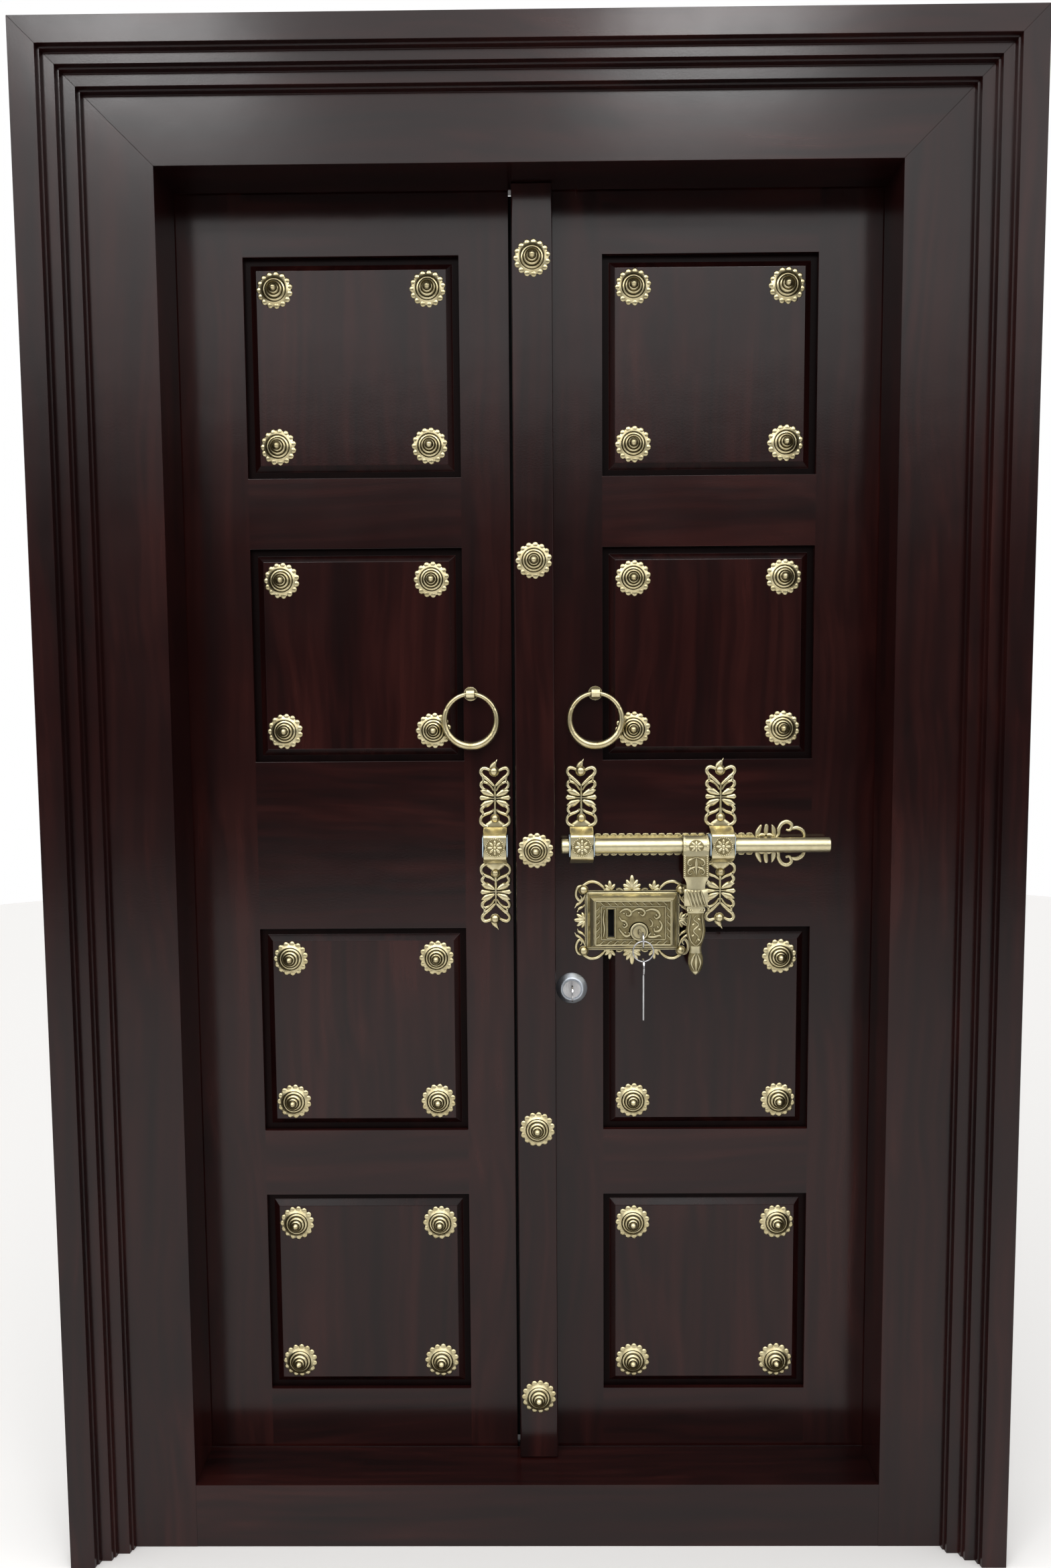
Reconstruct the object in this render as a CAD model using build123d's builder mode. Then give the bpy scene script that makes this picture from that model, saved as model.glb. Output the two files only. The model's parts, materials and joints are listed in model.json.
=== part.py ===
from build123d import *
import math
import os

os.makedirs("parts", exist_ok=True)

# A pair of pressed steel entrance leaves in a folded steel frame, with traditional brass
# ironmongery: petal studs, two ring handles and a sliding rod lock with openwork clamps.
# Millimetres. X runs along the doorway, Y into the room, Z up. The outer faces of the
# closed leaves lie on Y = 0 and the floor is Z = 0.

# Frame: overall size, and the section from the doorway's edge outwards
DOOR_WIDTH = 1350.0
DOOR_HEIGHT = 2140.0
FRAME_SHEET = 1.5
FLAT_WIDTH = 91.0
REVEAL_DEPTH = 91.0
INNER_BAND = 16.5
MIDDLE_BAND = 14.5
OUTER_BAND = 35.0
STEP_RUN = 4.9
STEP_RISE = 14.2
STEP_QUIRK = 2.3
OUTER_RETURN = 60.0
REBATE_WIDTH = 14.0
REBATE_LENGTH = 50.0
BACK_FLANGE = 38.0
SILL_HEIGHT = 96.0
SILL_FRONT_RETURN = 30.0
SILL_BACK_RETURN = 70.0
SEAL_GAP = 0.3
SEAL_THICKNESS = 3.2
SEAL_WIDTH = 8.0
SEAL_INSET = 2.0
ANCHOR_HOLE = 10.0
ANCHOR_COUNT = 4
ANCHOR_FROM_FLOOR = 250.0
ANCHOR_FROM_TOP = 240.0

# Leaves
LEAF_THICKNESS = 46.0
LEAF_SHEET = 1.5
LEAF_EDGE_GAP = 4.0
LEAF_TOP_GAP = 4.0
LEAF_FLOOR_GAP = 5.0
MEETING_X = -24.8
MEETING_GAP = 4.0
MEETING_BEVEL = 3.6
CHANNEL_FLANGE = 20.0
CORE_CLEARANCE = 0.5

# Pressed panels: four in each leaf. They take what the stiles and rails leave of the doorway.
PANEL_AXIS_X = 2.0
MEETING_STILE = 102.3
HINGE_STILE = 91.0
BOTTOM_RAIL = 92.5
MIDDLE_RAIL = 101.0
LOCK_RAIL = 250.5
TOP_RAIL = 87.3
GROOVE_DEPTH = 8.0
GROOVE_WIDTH = 9.5
PANEL_BEVEL = 9.0
FIELD_SETBACK = 1.0
INNER_FIELD_RISE = 3.0
INNER_FIELD_MARGIN = 16.0

# Astragal, the hollow strip over the meeting line, carried by the right leaf
ASTRAGAL_WIDTH = 57.0
ASTRAGAL_LEFT_X = -24.0
ASTRAGAL_DEPTH = 31.0
ASTRAGAL_SHEET = 1.2
ASTRAGAL_LIP = 8.0
ASTRAGAL_END_GAP = 2.0
ASTRAGAL_BEND = 2.5

# Petal studs
STUD_MARGIN_X = 44.5
STUD_MARGIN_Z = 45.0
STUD_PETALS = 15
STUD_RADIUS = 26.0
STUD_NOTCH_RADIUS = 23.4
STUD_DISC = 1.8
STUD_DOME_RADIUS = 17.0
STUD_STEP_RADIUS = 12.2
STUD_STEP_HEIGHT = 7.0
STUD_TIP_RADIUS = 2.6
STUD_HEIGHT = 19.0
CENTRE_STUD_COUNT = 5
CENTRE_STUD_FROM_SILL = 98.0
CENTRE_STUD_FROM_HEAD = 102.3

# Ring handles
RING_RADIUS = 38.2
RING_WIRE = 6.8
RING_MOUNT_X = 91.3
RING_ABOVE_ROD = 223.8
RING_PIVOT_Y = -12.0
RING_ROSE_RADIUS = 10.4
RING_ROSE_THICKNESS = 3.0
LUG_WIDTH = 12.0
LUG_RADIUS = 7.2
LUG_BORE = 8.6

# Sliding rod lock
ROD_DIAMETER = 22.0
ROD_LEFT_X = 42.0
ROD_LENGTH = 394.5
ROD_CHAMFER = 1.5
ROD_Y = -17.3
ROD_BELOW_RAIL_MIDDLE = 0.25
ROD_STROKE = 126.0
ROD_FIT = 0.05
ROD_PASSAGE_CLEARANCE = 1.3
COLLAR_RADIUS = 15.0
COLLAR_LEFT_X = 219.6
COLLAR_LENGTH = 38.0

# Clamps over the rod: an arched strap between openwork palmettes
CLAMP_PLATE = 3.0
CLAMP_WIDTH = 34.0
CLAMP_FOOT = 28.0
CLAMP_CROWN = 16.5
CLAMP_FRONT = 32.0
KEEPER_X = -55.0
INNER_CLAMP_X = 72.3
OUTER_CLAMP_X = 278.0
BUSH_LENGTH = 37.0
BUSH_HALF_HEIGHT = 15.0
DOME_RADIUS = 7.0
DOME_HEIGHT = 6.0
DOME_TOP_RADIUS = 2.5
INNER_DOME_Z = 41.0
END_DOME_Z = 110.0
BACK_PLATE = 1.5
BACK_PLATE_HALF = 13.0
SCALLOP = 3.4
SCALLOP_PITCH = 11.8
SCALLOP_COUNT = 20

# Handle that hangs from the rod
HASP_HALF_WIDTH = 19.0
HASP_THICKNESS = 6.0
HASP_BACK_Y = -26.0
GRIP_THICKNESS = 11.0
BAND_DEPTH = 6.7
BAND_LENGTH = 13.5
BAND_SIDES = 10
BAND_WIDTH = 34.0
BAND_DROP = 75.0

# Lock box on the lower side of the lock rail
LOCK_X = 147.5
LOCK_BELOW_ROD = 113.7
LOCK_WIDTH = 136.0
LOCK_HEIGHT = 85.0
LOCK_FLANGE = 3.0
LOCK_LEDGE = 1.0
LOCK_DEPTH = 24.0
LOCK_SLOPE = 9.0
LOCK_SLOT_X = -32.7
LOCK_SLOT_WIDTH = 9.0
LOCK_SLOT_HEIGHT = 41.0
LOCK_SLOT_DEPTH = 16.0
LOCK_BOSS_X = 8.4
LOCK_BOSS_Z = -12.6
LOCK_BOSS_RADIUS = 13.3
LOCK_BOSS_RISE = 4.0
CORNER_SCREW_OUT = 4.5
CORNER_SCREW_UP = 3.5
PLUG_RADIUS = 8.0
PLUG_LENGTH = 20.0
PLUG_FIT = 0.05

# Keys
KEY_THICKNESS = 2.0
KEY_LENGTH = 88.0
KEY_BLADE_WIDTH = 8.0
KEY_BOW_RADIUS = 12.0
KEY_HOLE_RADIUS = 1.95
KEY_HOLE_INSET = 5.0
KEY_SLOT_CLEARANCE = 0.15
KEY_RING_RADIUS = 14.5
KEY_RING_WIRE = 2.0
KEY_RING_SLACK = 0.3

# Cylinder lock and its deadbolt
CYLINDER_X = 57.2
CYLINDER_BELOW_ROD = 216.5
CYLINDER_ROSE_RADIUS = 23.4
CYLINDER_ROSE_FRONT_RADIUS = 16.5
CYLINDER_ROSE_DEPTH = 9.0
CYLINDER_PLUG_RADIUS = 13.0
CYLINDER_KEY_LENGTH = 56.0
CYLINDER_KEY_REST = 1.0
CASE_LENGTH = 98.0
CASE_HEIGHT = 150.0
CASE_THICKNESS = 20.0
DEADBOLT_RISE = 40.0
DEADBOLT_HEIGHT = 28.0
DEADBOLT_THICKNESS = 12.0
DEADBOLT_LENGTH = 60.0
DEADBOLT_THROW = 20.0
DEADBOLT_CLEARANCE = 1.0
DEADBOLT_GUIDE_FIT = 0.3

# Flush bolts of the left leaf
FLUSH_BOLT_X = -60.0
FLUSH_BOLT_WIDTH = 12.0
FLUSH_BOLT_THICKNESS = 8.0
FLUSH_BOLT_LENGTH = 200.0
FLUSH_BOLT_THROW = 20.0
FLUSH_BOLT_CLEARANCE = 1.0
THUMB_HEIGHT = 10.0
THUMB_INSET = 60.0

# Hinges, three to a leaf, lift-off type
HINGE_FROM_SILL = 204.0
HINGE_FROM_HEAD = 208.3
HINGE_Y = 58.0
HINGE_AXIS_OUT = 2.0
KNUCKLE_RADIUS = 7.0
KNUCKLE_LENGTH = 40.0
KNUCKLE_GAP = 0.3
HINGE_PIN_RADIUS = 4.0
HINGE_FIT = 0.05
HINGE_PLATE = 3.0
HINGE_PLATE_WIDTH = 30.0
HINGE_WEB = 7.0

# Facets of round ornament
DISC_SIDES = 16
DOME_SIDES = 10
KNUCKLE_SIDES = 12
SCREW_SIDES = 10
RING_SIDES = 24
WIRE_SIDES = 8
KEY_RING_SIDES = 20

# Worked-out places
SURROUND = FLAT_WIDTH + INNER_BAND + MIDDLE_BAND + OUTER_BAND + 3 * STEP_RUN
CLEAR_HALF = DOOR_WIDTH / 2 - SURROUND
HEAD_Z = DOOR_HEIGHT - SURROUND
FLAT_Y = -REVEAL_DEPTH
STOP_Y = -SEAL_GAP - SEAL_THICKNESS
REBATE_BACK = REBATE_LENGTH
LEAF_EDGE_X = CLEAR_HALF + REBATE_WIDTH - LEAF_EDGE_GAP
LEAF_TOP = HEAD_Z + REBATE_WIDTH - LEAF_TOP_GAP
LEAF_BOTTOM = SILL_HEIGHT - REBATE_WIDTH + LEAF_FLOOR_GAP
LEAF_MIDDLE_Y = LEAF_THICKNESS / 2
INSIDE_Y = LEAF_THICKNESS - LEAF_SHEET
LEFT_MEETING_X = MEETING_X - MEETING_GAP
HINGE_X = LEAF_EDGE_X + HINGE_AXIS_OUT
PANEL_WIDTH = CLEAR_HALF - PANEL_AXIS_X - MEETING_STILE - HINGE_STILE
PANEL_OFFSET = MEETING_STILE + PANEL_WIDTH / 2
PANEL_HEIGHT = (HEAD_Z - SILL_HEIGHT - BOTTOM_RAIL - TOP_RAIL - LOCK_RAIL - 2 * MIDDLE_RAIL) / 4
PANEL_PITCH = PANEL_HEIGHT + MIDDLE_RAIL
LOWEST_PANEL_Z = SILL_HEIGHT + BOTTOM_RAIL + PANEL_HEIGHT / 2
HIGHEST_PANEL_Z = HEAD_Z - TOP_RAIL - PANEL_HEIGHT / 2
PANEL_LEVELS = [
    LOWEST_PANEL_Z,
    LOWEST_PANEL_Z + PANEL_PITCH,
    HIGHEST_PANEL_Z - PANEL_PITCH,
    HIGHEST_PANEL_Z,
]
STUD_PITCH_X = PANEL_WIDTH - 2 * STUD_MARGIN_X
STUD_PITCH_Z = PANEL_HEIGHT - 2 * STUD_MARGIN_Z
CENTRE_STUD_RISE = HEAD_Z - CENTRE_STUD_FROM_HEAD - SILL_HEIGHT - CENTRE_STUD_FROM_SILL
ROD_Z = (PANEL_LEVELS[1] + PANEL_LEVELS[2]) / 2 - ROD_BELOW_RAIL_MIDDLE
LOCK_Z = ROD_Z - LOCK_BELOW_ROD
CYLINDER_Z = ROD_Z - CYLINDER_BELOW_ROD
RING_PIVOT_Z = ROD_Z + RING_ABOVE_ROD
LOWEST_HINGE_Z = SILL_HEIGHT + HINGE_FROM_SILL
HIGHEST_HINGE_Z = HEAD_Z - HINGE_FROM_HEAD
HINGE_HEIGHTS = (LOWEST_HINGE_Z, (LOWEST_HINGE_Z + HIGHEST_HINGE_Z) / 2, HIGHEST_HINGE_Z)
ANCHOR_PITCH = (DOOR_HEIGHT - ANCHOR_FROM_FLOOR - ANCHOR_FROM_TOP) / (ANCHOR_COUNT - 1)
LEFT_PANEL_X = PANEL_AXIS_X - PANEL_OFFSET
RIGHT_PANEL_X = PANEL_AXIS_X + PANEL_OFFSET
ASTRAGAL_MIDDLE_X = ASTRAGAL_LEFT_X + ASTRAGAL_WIDTH / 2
DEADBOLT_Z = CYLINDER_Z + DEADBOLT_RISE
LOCK_KEY_X = LOCK_X + LOCK_BOSS_X
LOCK_KEY_Z = LOCK_Z + LOCK_BOSS_Z
ROD_RADIUS = ROD_DIAMETER / 2


def block(x, y, z, mode=Mode.ADD):
    """A square-cut block between two values on each axis."""
    with Locations(((x[0] + x[1]) / 2, (y[0] + y[1]) / 2, (z[0] + z[1]) / 2)):
        Box(x[1] - x[0], y[1] - y[0], z[1] - z[0], mode=mode)


def facing(y):
    """A plane parallel to the doorway, seen from outside, with its normal towards the viewer."""
    return Plane.XZ.offset(-y)


def keep(part, name):
    """Name a finished piece and write it."""
    part.label = name
    export_step(part, "parts/" + name + ".step")


def surround_section():
    """The frame's section as distance out from the doorway and depth, from the outer return inwards."""
    out = SURROUND
    depth = FLAT_Y - 3 * STEP_RISE
    slope = (STEP_RUN - STEP_QUIRK) / 2
    points = [(out, depth + OUTER_RETURN), (out, depth)]
    for band in (OUTER_BAND, MIDDLE_BAND, INNER_BAND):
        out -= band
        points.append((out, depth))
        points.append((out - slope, depth + STEP_RISE / 2))
        points.append((out - slope - STEP_QUIRK, depth + STEP_RISE / 2))
        out -= STEP_RUN
        depth += STEP_RISE
        points.append((out, depth))
    points.append((0, FLAT_Y))
    points.append((0, STOP_Y))
    points.append((REBATE_WIDTH, STOP_Y))
    points.append((REBATE_WIDTH, REBATE_BACK))
    points.append((REBATE_WIDTH + BACK_FLANGE, REBATE_BACK))
    return points


# Jambs: one folded sheet each, mitred to the head
left_mitre = Plane(origin=(-CLEAR_HALF, 0, HEAD_Z), z_dir=(1, 0, 1))
right_mitre = Plane(origin=(CLEAR_HALF, 0, HEAD_Z), z_dir=(-1, 0, 1))
anchor_levels = [ANCHOR_FROM_FLOOR + i * ANCHOR_PITCH for i in range(ANCHOR_COUNT)]
anchor_y = REBATE_LENGTH / 2

with BuildPart() as left_jamb:
    with BuildSketch(Plane.XY):
        with BuildLine():
            Polyline(*[(-CLEAR_HALF - out, depth) for out, depth in surround_section()])
            offset(amount=FRAME_SHEET, side=Side.LEFT, kind=Kind.INTERSECTION)
        make_face()
    extrude(amount=DOOR_HEIGHT)
    split(bisect_by=left_mitre, keep=Keep.BOTTOM)
    with BuildSketch(Plane.YZ.offset(-CLEAR_HALF - 2 * REBATE_WIDTH)):
        with Locations(*[(anchor_y, z) for z in anchor_levels]):
            Circle(ANCHOR_HOLE / 2)
    extrude(amount=2 * REBATE_WIDTH, mode=Mode.SUBTRACT)
keep(left_jamb.part, "left_jamb")

with BuildPart() as right_jamb:
    add(left_jamb.part.mirror(Plane.YZ))
keep(right_jamb.part, "right_jamb")

with BuildPart() as head:
    with BuildSketch(Plane.YZ.offset(-DOOR_WIDTH / 2)):
        with BuildLine():
            Polyline(*[(depth, HEAD_Z + out) for out, depth in surround_section()])
            offset(amount=FRAME_SHEET, side=Side.LEFT, kind=Kind.INTERSECTION)
        make_face()
    extrude(amount=DOOR_WIDTH)
    split(bisect_by=left_mitre, keep=Keep.TOP)
    split(bisect_by=right_mitre, keep=Keep.TOP)
    block(
        (FLUSH_BOLT_X - FLUSH_BOLT_WIDTH / 2 - FLUSH_BOLT_CLEARANCE,
         FLUSH_BOLT_X + FLUSH_BOLT_WIDTH / 2 + FLUSH_BOLT_CLEARANCE),
        (LEAF_MIDDLE_Y - FLUSH_BOLT_THICKNESS / 2 - FLUSH_BOLT_CLEARANCE,
         LEAF_MIDDLE_Y + FLUSH_BOLT_THICKNESS / 2 + FLUSH_BOLT_CLEARANCE),
        (HEAD_Z + REBATE_WIDTH - FRAME_SHEET, HEAD_Z + REBATE_WIDTH + 2 * FRAME_SHEET),
        Mode.SUBTRACT,
    )
keep(head.part, "head")

# Sill: the same flat face and reveal, folded back under itself to sit on the floor
with BuildPart() as sill:
    with BuildSketch(Plane.YZ.offset(-CLEAR_HALF - REBATE_WIDTH)):
        with BuildLine():
            Polyline(
                (FLAT_Y + SILL_FRONT_RETURN, 0),
                (FLAT_Y, 0),
                (FLAT_Y, SILL_HEIGHT),
                (STOP_Y, SILL_HEIGHT),
                (STOP_Y, SILL_HEIGHT - REBATE_WIDTH),
                (REBATE_BACK, SILL_HEIGHT - REBATE_WIDTH),
                (REBATE_BACK, 0),
                (REBATE_BACK - SILL_BACK_RETURN, 0),
            )
            offset(amount=FRAME_SHEET, side=Side.RIGHT, kind=Kind.INTERSECTION)
        make_face()
    extrude(amount=2 * (CLEAR_HALF + REBATE_WIDTH))
    for side in (-1, 1):
        ends = sorted((side * CLEAR_HALF, side * (CLEAR_HALF + REBATE_WIDTH)))
        block(ends, (FLAT_Y, STOP_Y), (0, SILL_HEIGHT), Mode.SUBTRACT)
    block(
        (FLUSH_BOLT_X - FLUSH_BOLT_WIDTH / 2 - FLUSH_BOLT_CLEARANCE,
         FLUSH_BOLT_X + FLUSH_BOLT_WIDTH / 2 + FLUSH_BOLT_CLEARANCE),
        (LEAF_MIDDLE_Y - FLUSH_BOLT_THICKNESS / 2 - FLUSH_BOLT_CLEARANCE,
         LEAF_MIDDLE_Y + FLUSH_BOLT_THICKNESS / 2 + FLUSH_BOLT_CLEARANCE),
        (SILL_HEIGHT - REBATE_WIDTH - 2 * FRAME_SHEET, SILL_HEIGHT - REBATE_WIDTH + FRAME_SHEET),
        Mode.SUBTRACT,
    )
keep(sill.part, "sill")

# Rubber seals on the back of the stop, which the leaves close against
seal_y = (STOP_Y, STOP_Y + SEAL_THICKNESS)
seal_out = (SEAL_INSET, SEAL_INSET + SEAL_WIDTH)
with BuildPart() as frame_seals:
    for side in (-1, 1):
        across = sorted((side * (CLEAR_HALF + seal_out[0]), side * (CLEAR_HALF + seal_out[1])))
        block(across, seal_y, (SILL_HEIGHT - SEAL_INSET, HEAD_Z + SEAL_INSET))
    full = (-CLEAR_HALF - seal_out[1], CLEAR_HALF + seal_out[1])
    block(full, seal_y, (HEAD_Z + seal_out[0], HEAD_Z + seal_out[1]))
    block(full, seal_y, (SILL_HEIGHT - seal_out[1], SILL_HEIGHT - seal_out[0]))
keep(frame_seals.part, "frame_seals")


def frame_hinges(side):
    """Frame halves of three lift-off hinges: plate, lower knuckle and its standing pin."""
    with BuildPart() as halves:
        for z in HINGE_HEIGHTS:
            plate = sorted((side * (HINGE_X + HINGE_AXIS_OUT), side * (HINGE_X + HINGE_PLATE_WIDTH)))
            web = sorted((side * HINGE_X, side * (HINGE_X + HINGE_WEB)))
            levels = (z, z + KNUCKLE_LENGTH)
            block(plate, (REBATE_BACK, REBATE_BACK + HINGE_PLATE), levels)
            block(web, (REBATE_BACK, HINGE_Y), levels)
            with BuildSketch(Plane.XY.offset(z)):
                with Locations((side * HINGE_X, HINGE_Y)):
                    RegularPolygon(KNUCKLE_RADIUS, KNUCKLE_SIDES)
            extrude(amount=KNUCKLE_LENGTH)
            with BuildSketch(Plane.XY.offset(z + KNUCKLE_LENGTH)):
                with Locations((side * HINGE_X, HINGE_Y)):
                    Circle(HINGE_PIN_RADIUS)
            extrude(amount=KNUCKLE_LENGTH - HINGE_PIN_RADIUS)
    return halves.part


def leaf_hinges(side):
    """Leaf halves of three lift-off hinges: plate and upper knuckle, bored for the pin."""
    with BuildPart() as halves:
        for z in HINGE_HEIGHTS:
            bottom = z + KNUCKLE_LENGTH + KNUCKLE_GAP
            levels = (bottom, bottom + KNUCKLE_LENGTH)
            edge = HINGE_X - HINGE_AXIS_OUT
            plate = sorted((side * edge, side * (edge - HINGE_PLATE_WIDTH)))
            web = sorted((side * HINGE_X, side * (HINGE_X - HINGE_WEB)))
            block(plate, (LEAF_THICKNESS, LEAF_THICKNESS + HINGE_PLATE), levels)
            block(web, (LEAF_THICKNESS, HINGE_Y), levels)
            with BuildSketch(Plane.XY.offset(bottom)):
                with Locations((side * HINGE_X, HINGE_Y)):
                    RegularPolygon(KNUCKLE_RADIUS, KNUCKLE_SIDES)
            extrude(amount=KNUCKLE_LENGTH)
            with BuildSketch(Plane.XY.offset(bottom)):
                with Locations((side * HINGE_X, HINGE_Y)):
                    Circle(HINGE_PIN_RADIUS + HINGE_FIT)
            extrude(amount=KNUCKLE_LENGTH - HINGE_PIN_RADIUS / 2, mode=Mode.SUBTRACT)
    return halves.part


keep(frame_hinges(-1), "left_frame_hinges")
keep(frame_hinges(1), "right_frame_hinges")
keep(leaf_hinges(-1), "left_leaf_hinges")
keep(leaf_hinges(1), "right_leaf_hinges")


def panel_spots(panel_x):
    """Centres of a leaf's four panels, in the plane of the doorway."""
    return [(panel_x, z) for z in PANEL_LEVELS]


def front_skin(x_low, x_high, panel_x):
    """Outer sheet of a leaf, with four cut-outs whose edges are folded straight back."""
    with BuildPart() as skin:
        with BuildSketch(facing(LEAF_SHEET)):
            with Locations(((x_low + x_high) / 2, (LEAF_BOTTOM + LEAF_TOP) / 2)):
                Rectangle(x_high - x_low, LEAF_TOP - LEAF_BOTTOM)
        extrude(amount=LEAF_SHEET)
        with BuildSketch(facing(GROOVE_DEPTH)):
            with Locations(*panel_spots(panel_x)):
                Rectangle(PANEL_WIDTH + 2 * LEAF_SHEET, PANEL_HEIGHT + 2 * LEAF_SHEET)
        extrude(amount=GROOVE_DEPTH - LEAF_SHEET)
        with BuildSketch(facing(GROOVE_DEPTH)):
            with Locations(*panel_spots(panel_x)):
                Rectangle(PANEL_WIDTH, PANEL_HEIGHT)
        extrude(amount=GROOVE_DEPTH, mode=Mode.SUBTRACT)
    return skin.part


def back_skin(x_low, x_high, panel_x):
    """Room side sheet of a leaf, with four shallow pressed fields."""
    field_width = PANEL_WIDTH - 2 * INNER_FIELD_MARGIN
    field_height = PANEL_HEIGHT - 2 * INNER_FIELD_MARGIN
    with BuildPart() as skin:
        with BuildSketch(facing(LEAF_THICKNESS)):
            with Locations(((x_low + x_high) / 2, (LEAF_BOTTOM + LEAF_TOP) / 2)):
                Rectangle(x_high - x_low, LEAF_TOP - LEAF_BOTTOM)
        extrude(amount=LEAF_SHEET)
        with BuildSketch(facing(LEAF_THICKNESS)):
            with Locations(*panel_spots(panel_x)):
                Rectangle(field_width, field_height)
        extrude(amount=-INNER_FIELD_RISE, taper=45)
        with BuildSketch(facing(INSIDE_Y)):
            with Locations(*panel_spots(panel_x)):
                Rectangle(field_width - LEAF_SHEET, field_height - LEAF_SHEET)
        extrude(amount=-INNER_FIELD_RISE, taper=45, mode=Mode.SUBTRACT)
    return skin.part


def panel_trays(panel_x):
    """Four pressed trays: a flat groove floor round a field raised on bevelled sides."""
    slope = math.degrees(math.atan(PANEL_BEVEL / (GROOVE_DEPTH - FIELD_SETBACK)))
    base_width = PANEL_WIDTH - 2 * GROOVE_WIDTH
    base_height = PANEL_HEIGHT - 2 * GROOVE_WIDTH
    with BuildPart() as trays:
        with BuildSketch(facing(GROOVE_DEPTH + LEAF_SHEET)):
            with Locations(*panel_spots(panel_x)):
                Rectangle(PANEL_WIDTH + 2 * LEAF_SHEET, PANEL_HEIGHT + 2 * LEAF_SHEET)
        extrude(amount=LEAF_SHEET)
        with BuildSketch(facing(GROOVE_DEPTH)):
            with Locations(*panel_spots(panel_x)):
                Rectangle(base_width, base_height)
        extrude(amount=GROOVE_DEPTH - FIELD_SETBACK, taper=slope)
        with BuildSketch(facing(GROOVE_DEPTH + LEAF_SHEET)):
            with Locations(*panel_spots(panel_x)):
                Rectangle(base_width - LEAF_SHEET, base_height - LEAF_SHEET)
        extrude(amount=GROOVE_DEPTH - FIELD_SETBACK, taper=slope, mode=Mode.SUBTRACT)
    return trays.part


def edge_channel(edge_front, edge_back, side):
    """Upright U channel closing a leaf's edge; its web leans where the edge is bevelled."""
    lean = (edge_back - edge_front) / LEAF_THICKNESS
    inner = -side * CHANNEL_FLANGE
    web = -side * LEAF_SHEET
    front = LEAF_SHEET
    back = INSIDE_Y
    with BuildPart() as channel:
        with BuildSketch(Plane.XY.offset(LEAF_BOTTOM)):
            with BuildLine():
                Polyline(
                    (edge_front + lean * front, front),
                    (edge_front + lean * back, back),
                    (edge_front + inner, back),
                    (edge_front + inner, back - LEAF_SHEET),
                    (edge_front + lean * (back - LEAF_SHEET) + web, back - LEAF_SHEET),
                    (edge_front + lean * (front + LEAF_SHEET) + web, front + LEAF_SHEET),
                    (edge_front + inner, front + LEAF_SHEET),
                    (edge_front + inner, front),
                    close=True,
                )
            make_face()
        extrude(amount=LEAF_TOP - LEAF_BOTTOM)
    return channel.part


def rails(x_low, x_high):
    """Top and bottom U channels of a leaf, between its two stiles."""
    with BuildPart() as pair:
        for z, inwards in ((LEAF_BOTTOM, 1), (LEAF_TOP, -1)):
            outer = sorted((z, z + inwards * CHANNEL_FLANGE))
            inner = sorted((z + inwards * LEAF_SHEET, z + inwards * CHANNEL_FLANGE))
            block((x_low, x_high), (LEAF_SHEET, INSIDE_Y), outer)
            block((x_low, x_high), (2 * LEAF_SHEET, INSIDE_Y - LEAF_SHEET), inner, Mode.SUBTRACT)
    return pair.part


def flush_bolt_room(extra):
    """Ranges of the upright passage of a flush bolt, with the given room on every side."""
    half_width = FLUSH_BOLT_WIDTH / 2 + extra
    half_thickness = FLUSH_BOLT_THICKNESS / 2 + extra
    return (
        (FLUSH_BOLT_X - half_width, FLUSH_BOLT_X + half_width),
        (LEAF_MIDDLE_Y - half_thickness, LEAF_MIDDLE_Y + half_thickness),
    )


left_low, left_high = -LEAF_EDGE_X, LEFT_MEETING_X
right_low, right_high = MEETING_X, LEAF_EDGE_X
left_back_high = LEFT_MEETING_X - MEETING_BEVEL
core_front = 2 * LEAF_SHEET
core_back = INSIDE_Y - LEAF_SHEET
thumb_levels = (
    LEAF_BOTTOM + FLUSH_BOLT_LENGTH - THUMB_INSET,
    LEAF_TOP - FLUSH_BOLT_LENGTH + THUMB_INSET,
)
thumb_reach = FLUSH_BOLT_THROW + THUMB_HEIGHT / 2 + FLUSH_BOLT_CLEARANCE
thumb_y = (LEAF_MIDDLE_Y - THUMB_HEIGHT / 2, LEAF_MIDDLE_Y + THUMB_HEIGHT / 2)
thumb_slot_y = (thumb_y[0] - FLUSH_BOLT_CLEARANCE, thumb_y[1] + FLUSH_BOLT_CLEARANCE)
deadbolt_room_y = (
    LEAF_MIDDLE_Y - DEADBOLT_THICKNESS / 2 - DEADBOLT_CLEARANCE,
    LEAF_MIDDLE_Y + DEADBOLT_THICKNESS / 2 + DEADBOLT_CLEARANCE,
)
deadbolt_room_z = (
    DEADBOLT_Z - DEADBOLT_HEIGHT / 2 - DEADBOLT_CLEARANCE,
    DEADBOLT_Z + DEADBOLT_HEIGHT / 2 + DEADBOLT_CLEARANCE,
)
case_x = (MEETING_X + LEAF_SHEET, MEETING_X + LEAF_SHEET + CASE_LENGTH)
case_y = (LEAF_MIDDLE_Y - CASE_THICKNESS / 2, LEAF_MIDDLE_Y + CASE_THICKNESS / 2)
case_middle_z = CYLINDER_Z + DEADBOLT_RISE / 2
case_z = (case_middle_z - CASE_HEIGHT / 2, case_middle_z + CASE_HEIGHT / 2)

keep(front_skin(left_low, left_high, LEFT_PANEL_X), "left_front_skin")
keep(back_skin(left_low, left_back_high, LEFT_PANEL_X), "left_back_skin")
keep(back_skin(right_low, right_high, RIGHT_PANEL_X), "right_back_skin")
keep(panel_trays(LEFT_PANEL_X), "left_panel_trays")
keep(panel_trays(RIGHT_PANEL_X), "right_panel_trays")
keep(edge_channel(left_low, left_low, -1), "left_hinge_stile")
keep(edge_channel(right_high, right_high, 1), "right_hinge_stile")

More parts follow.
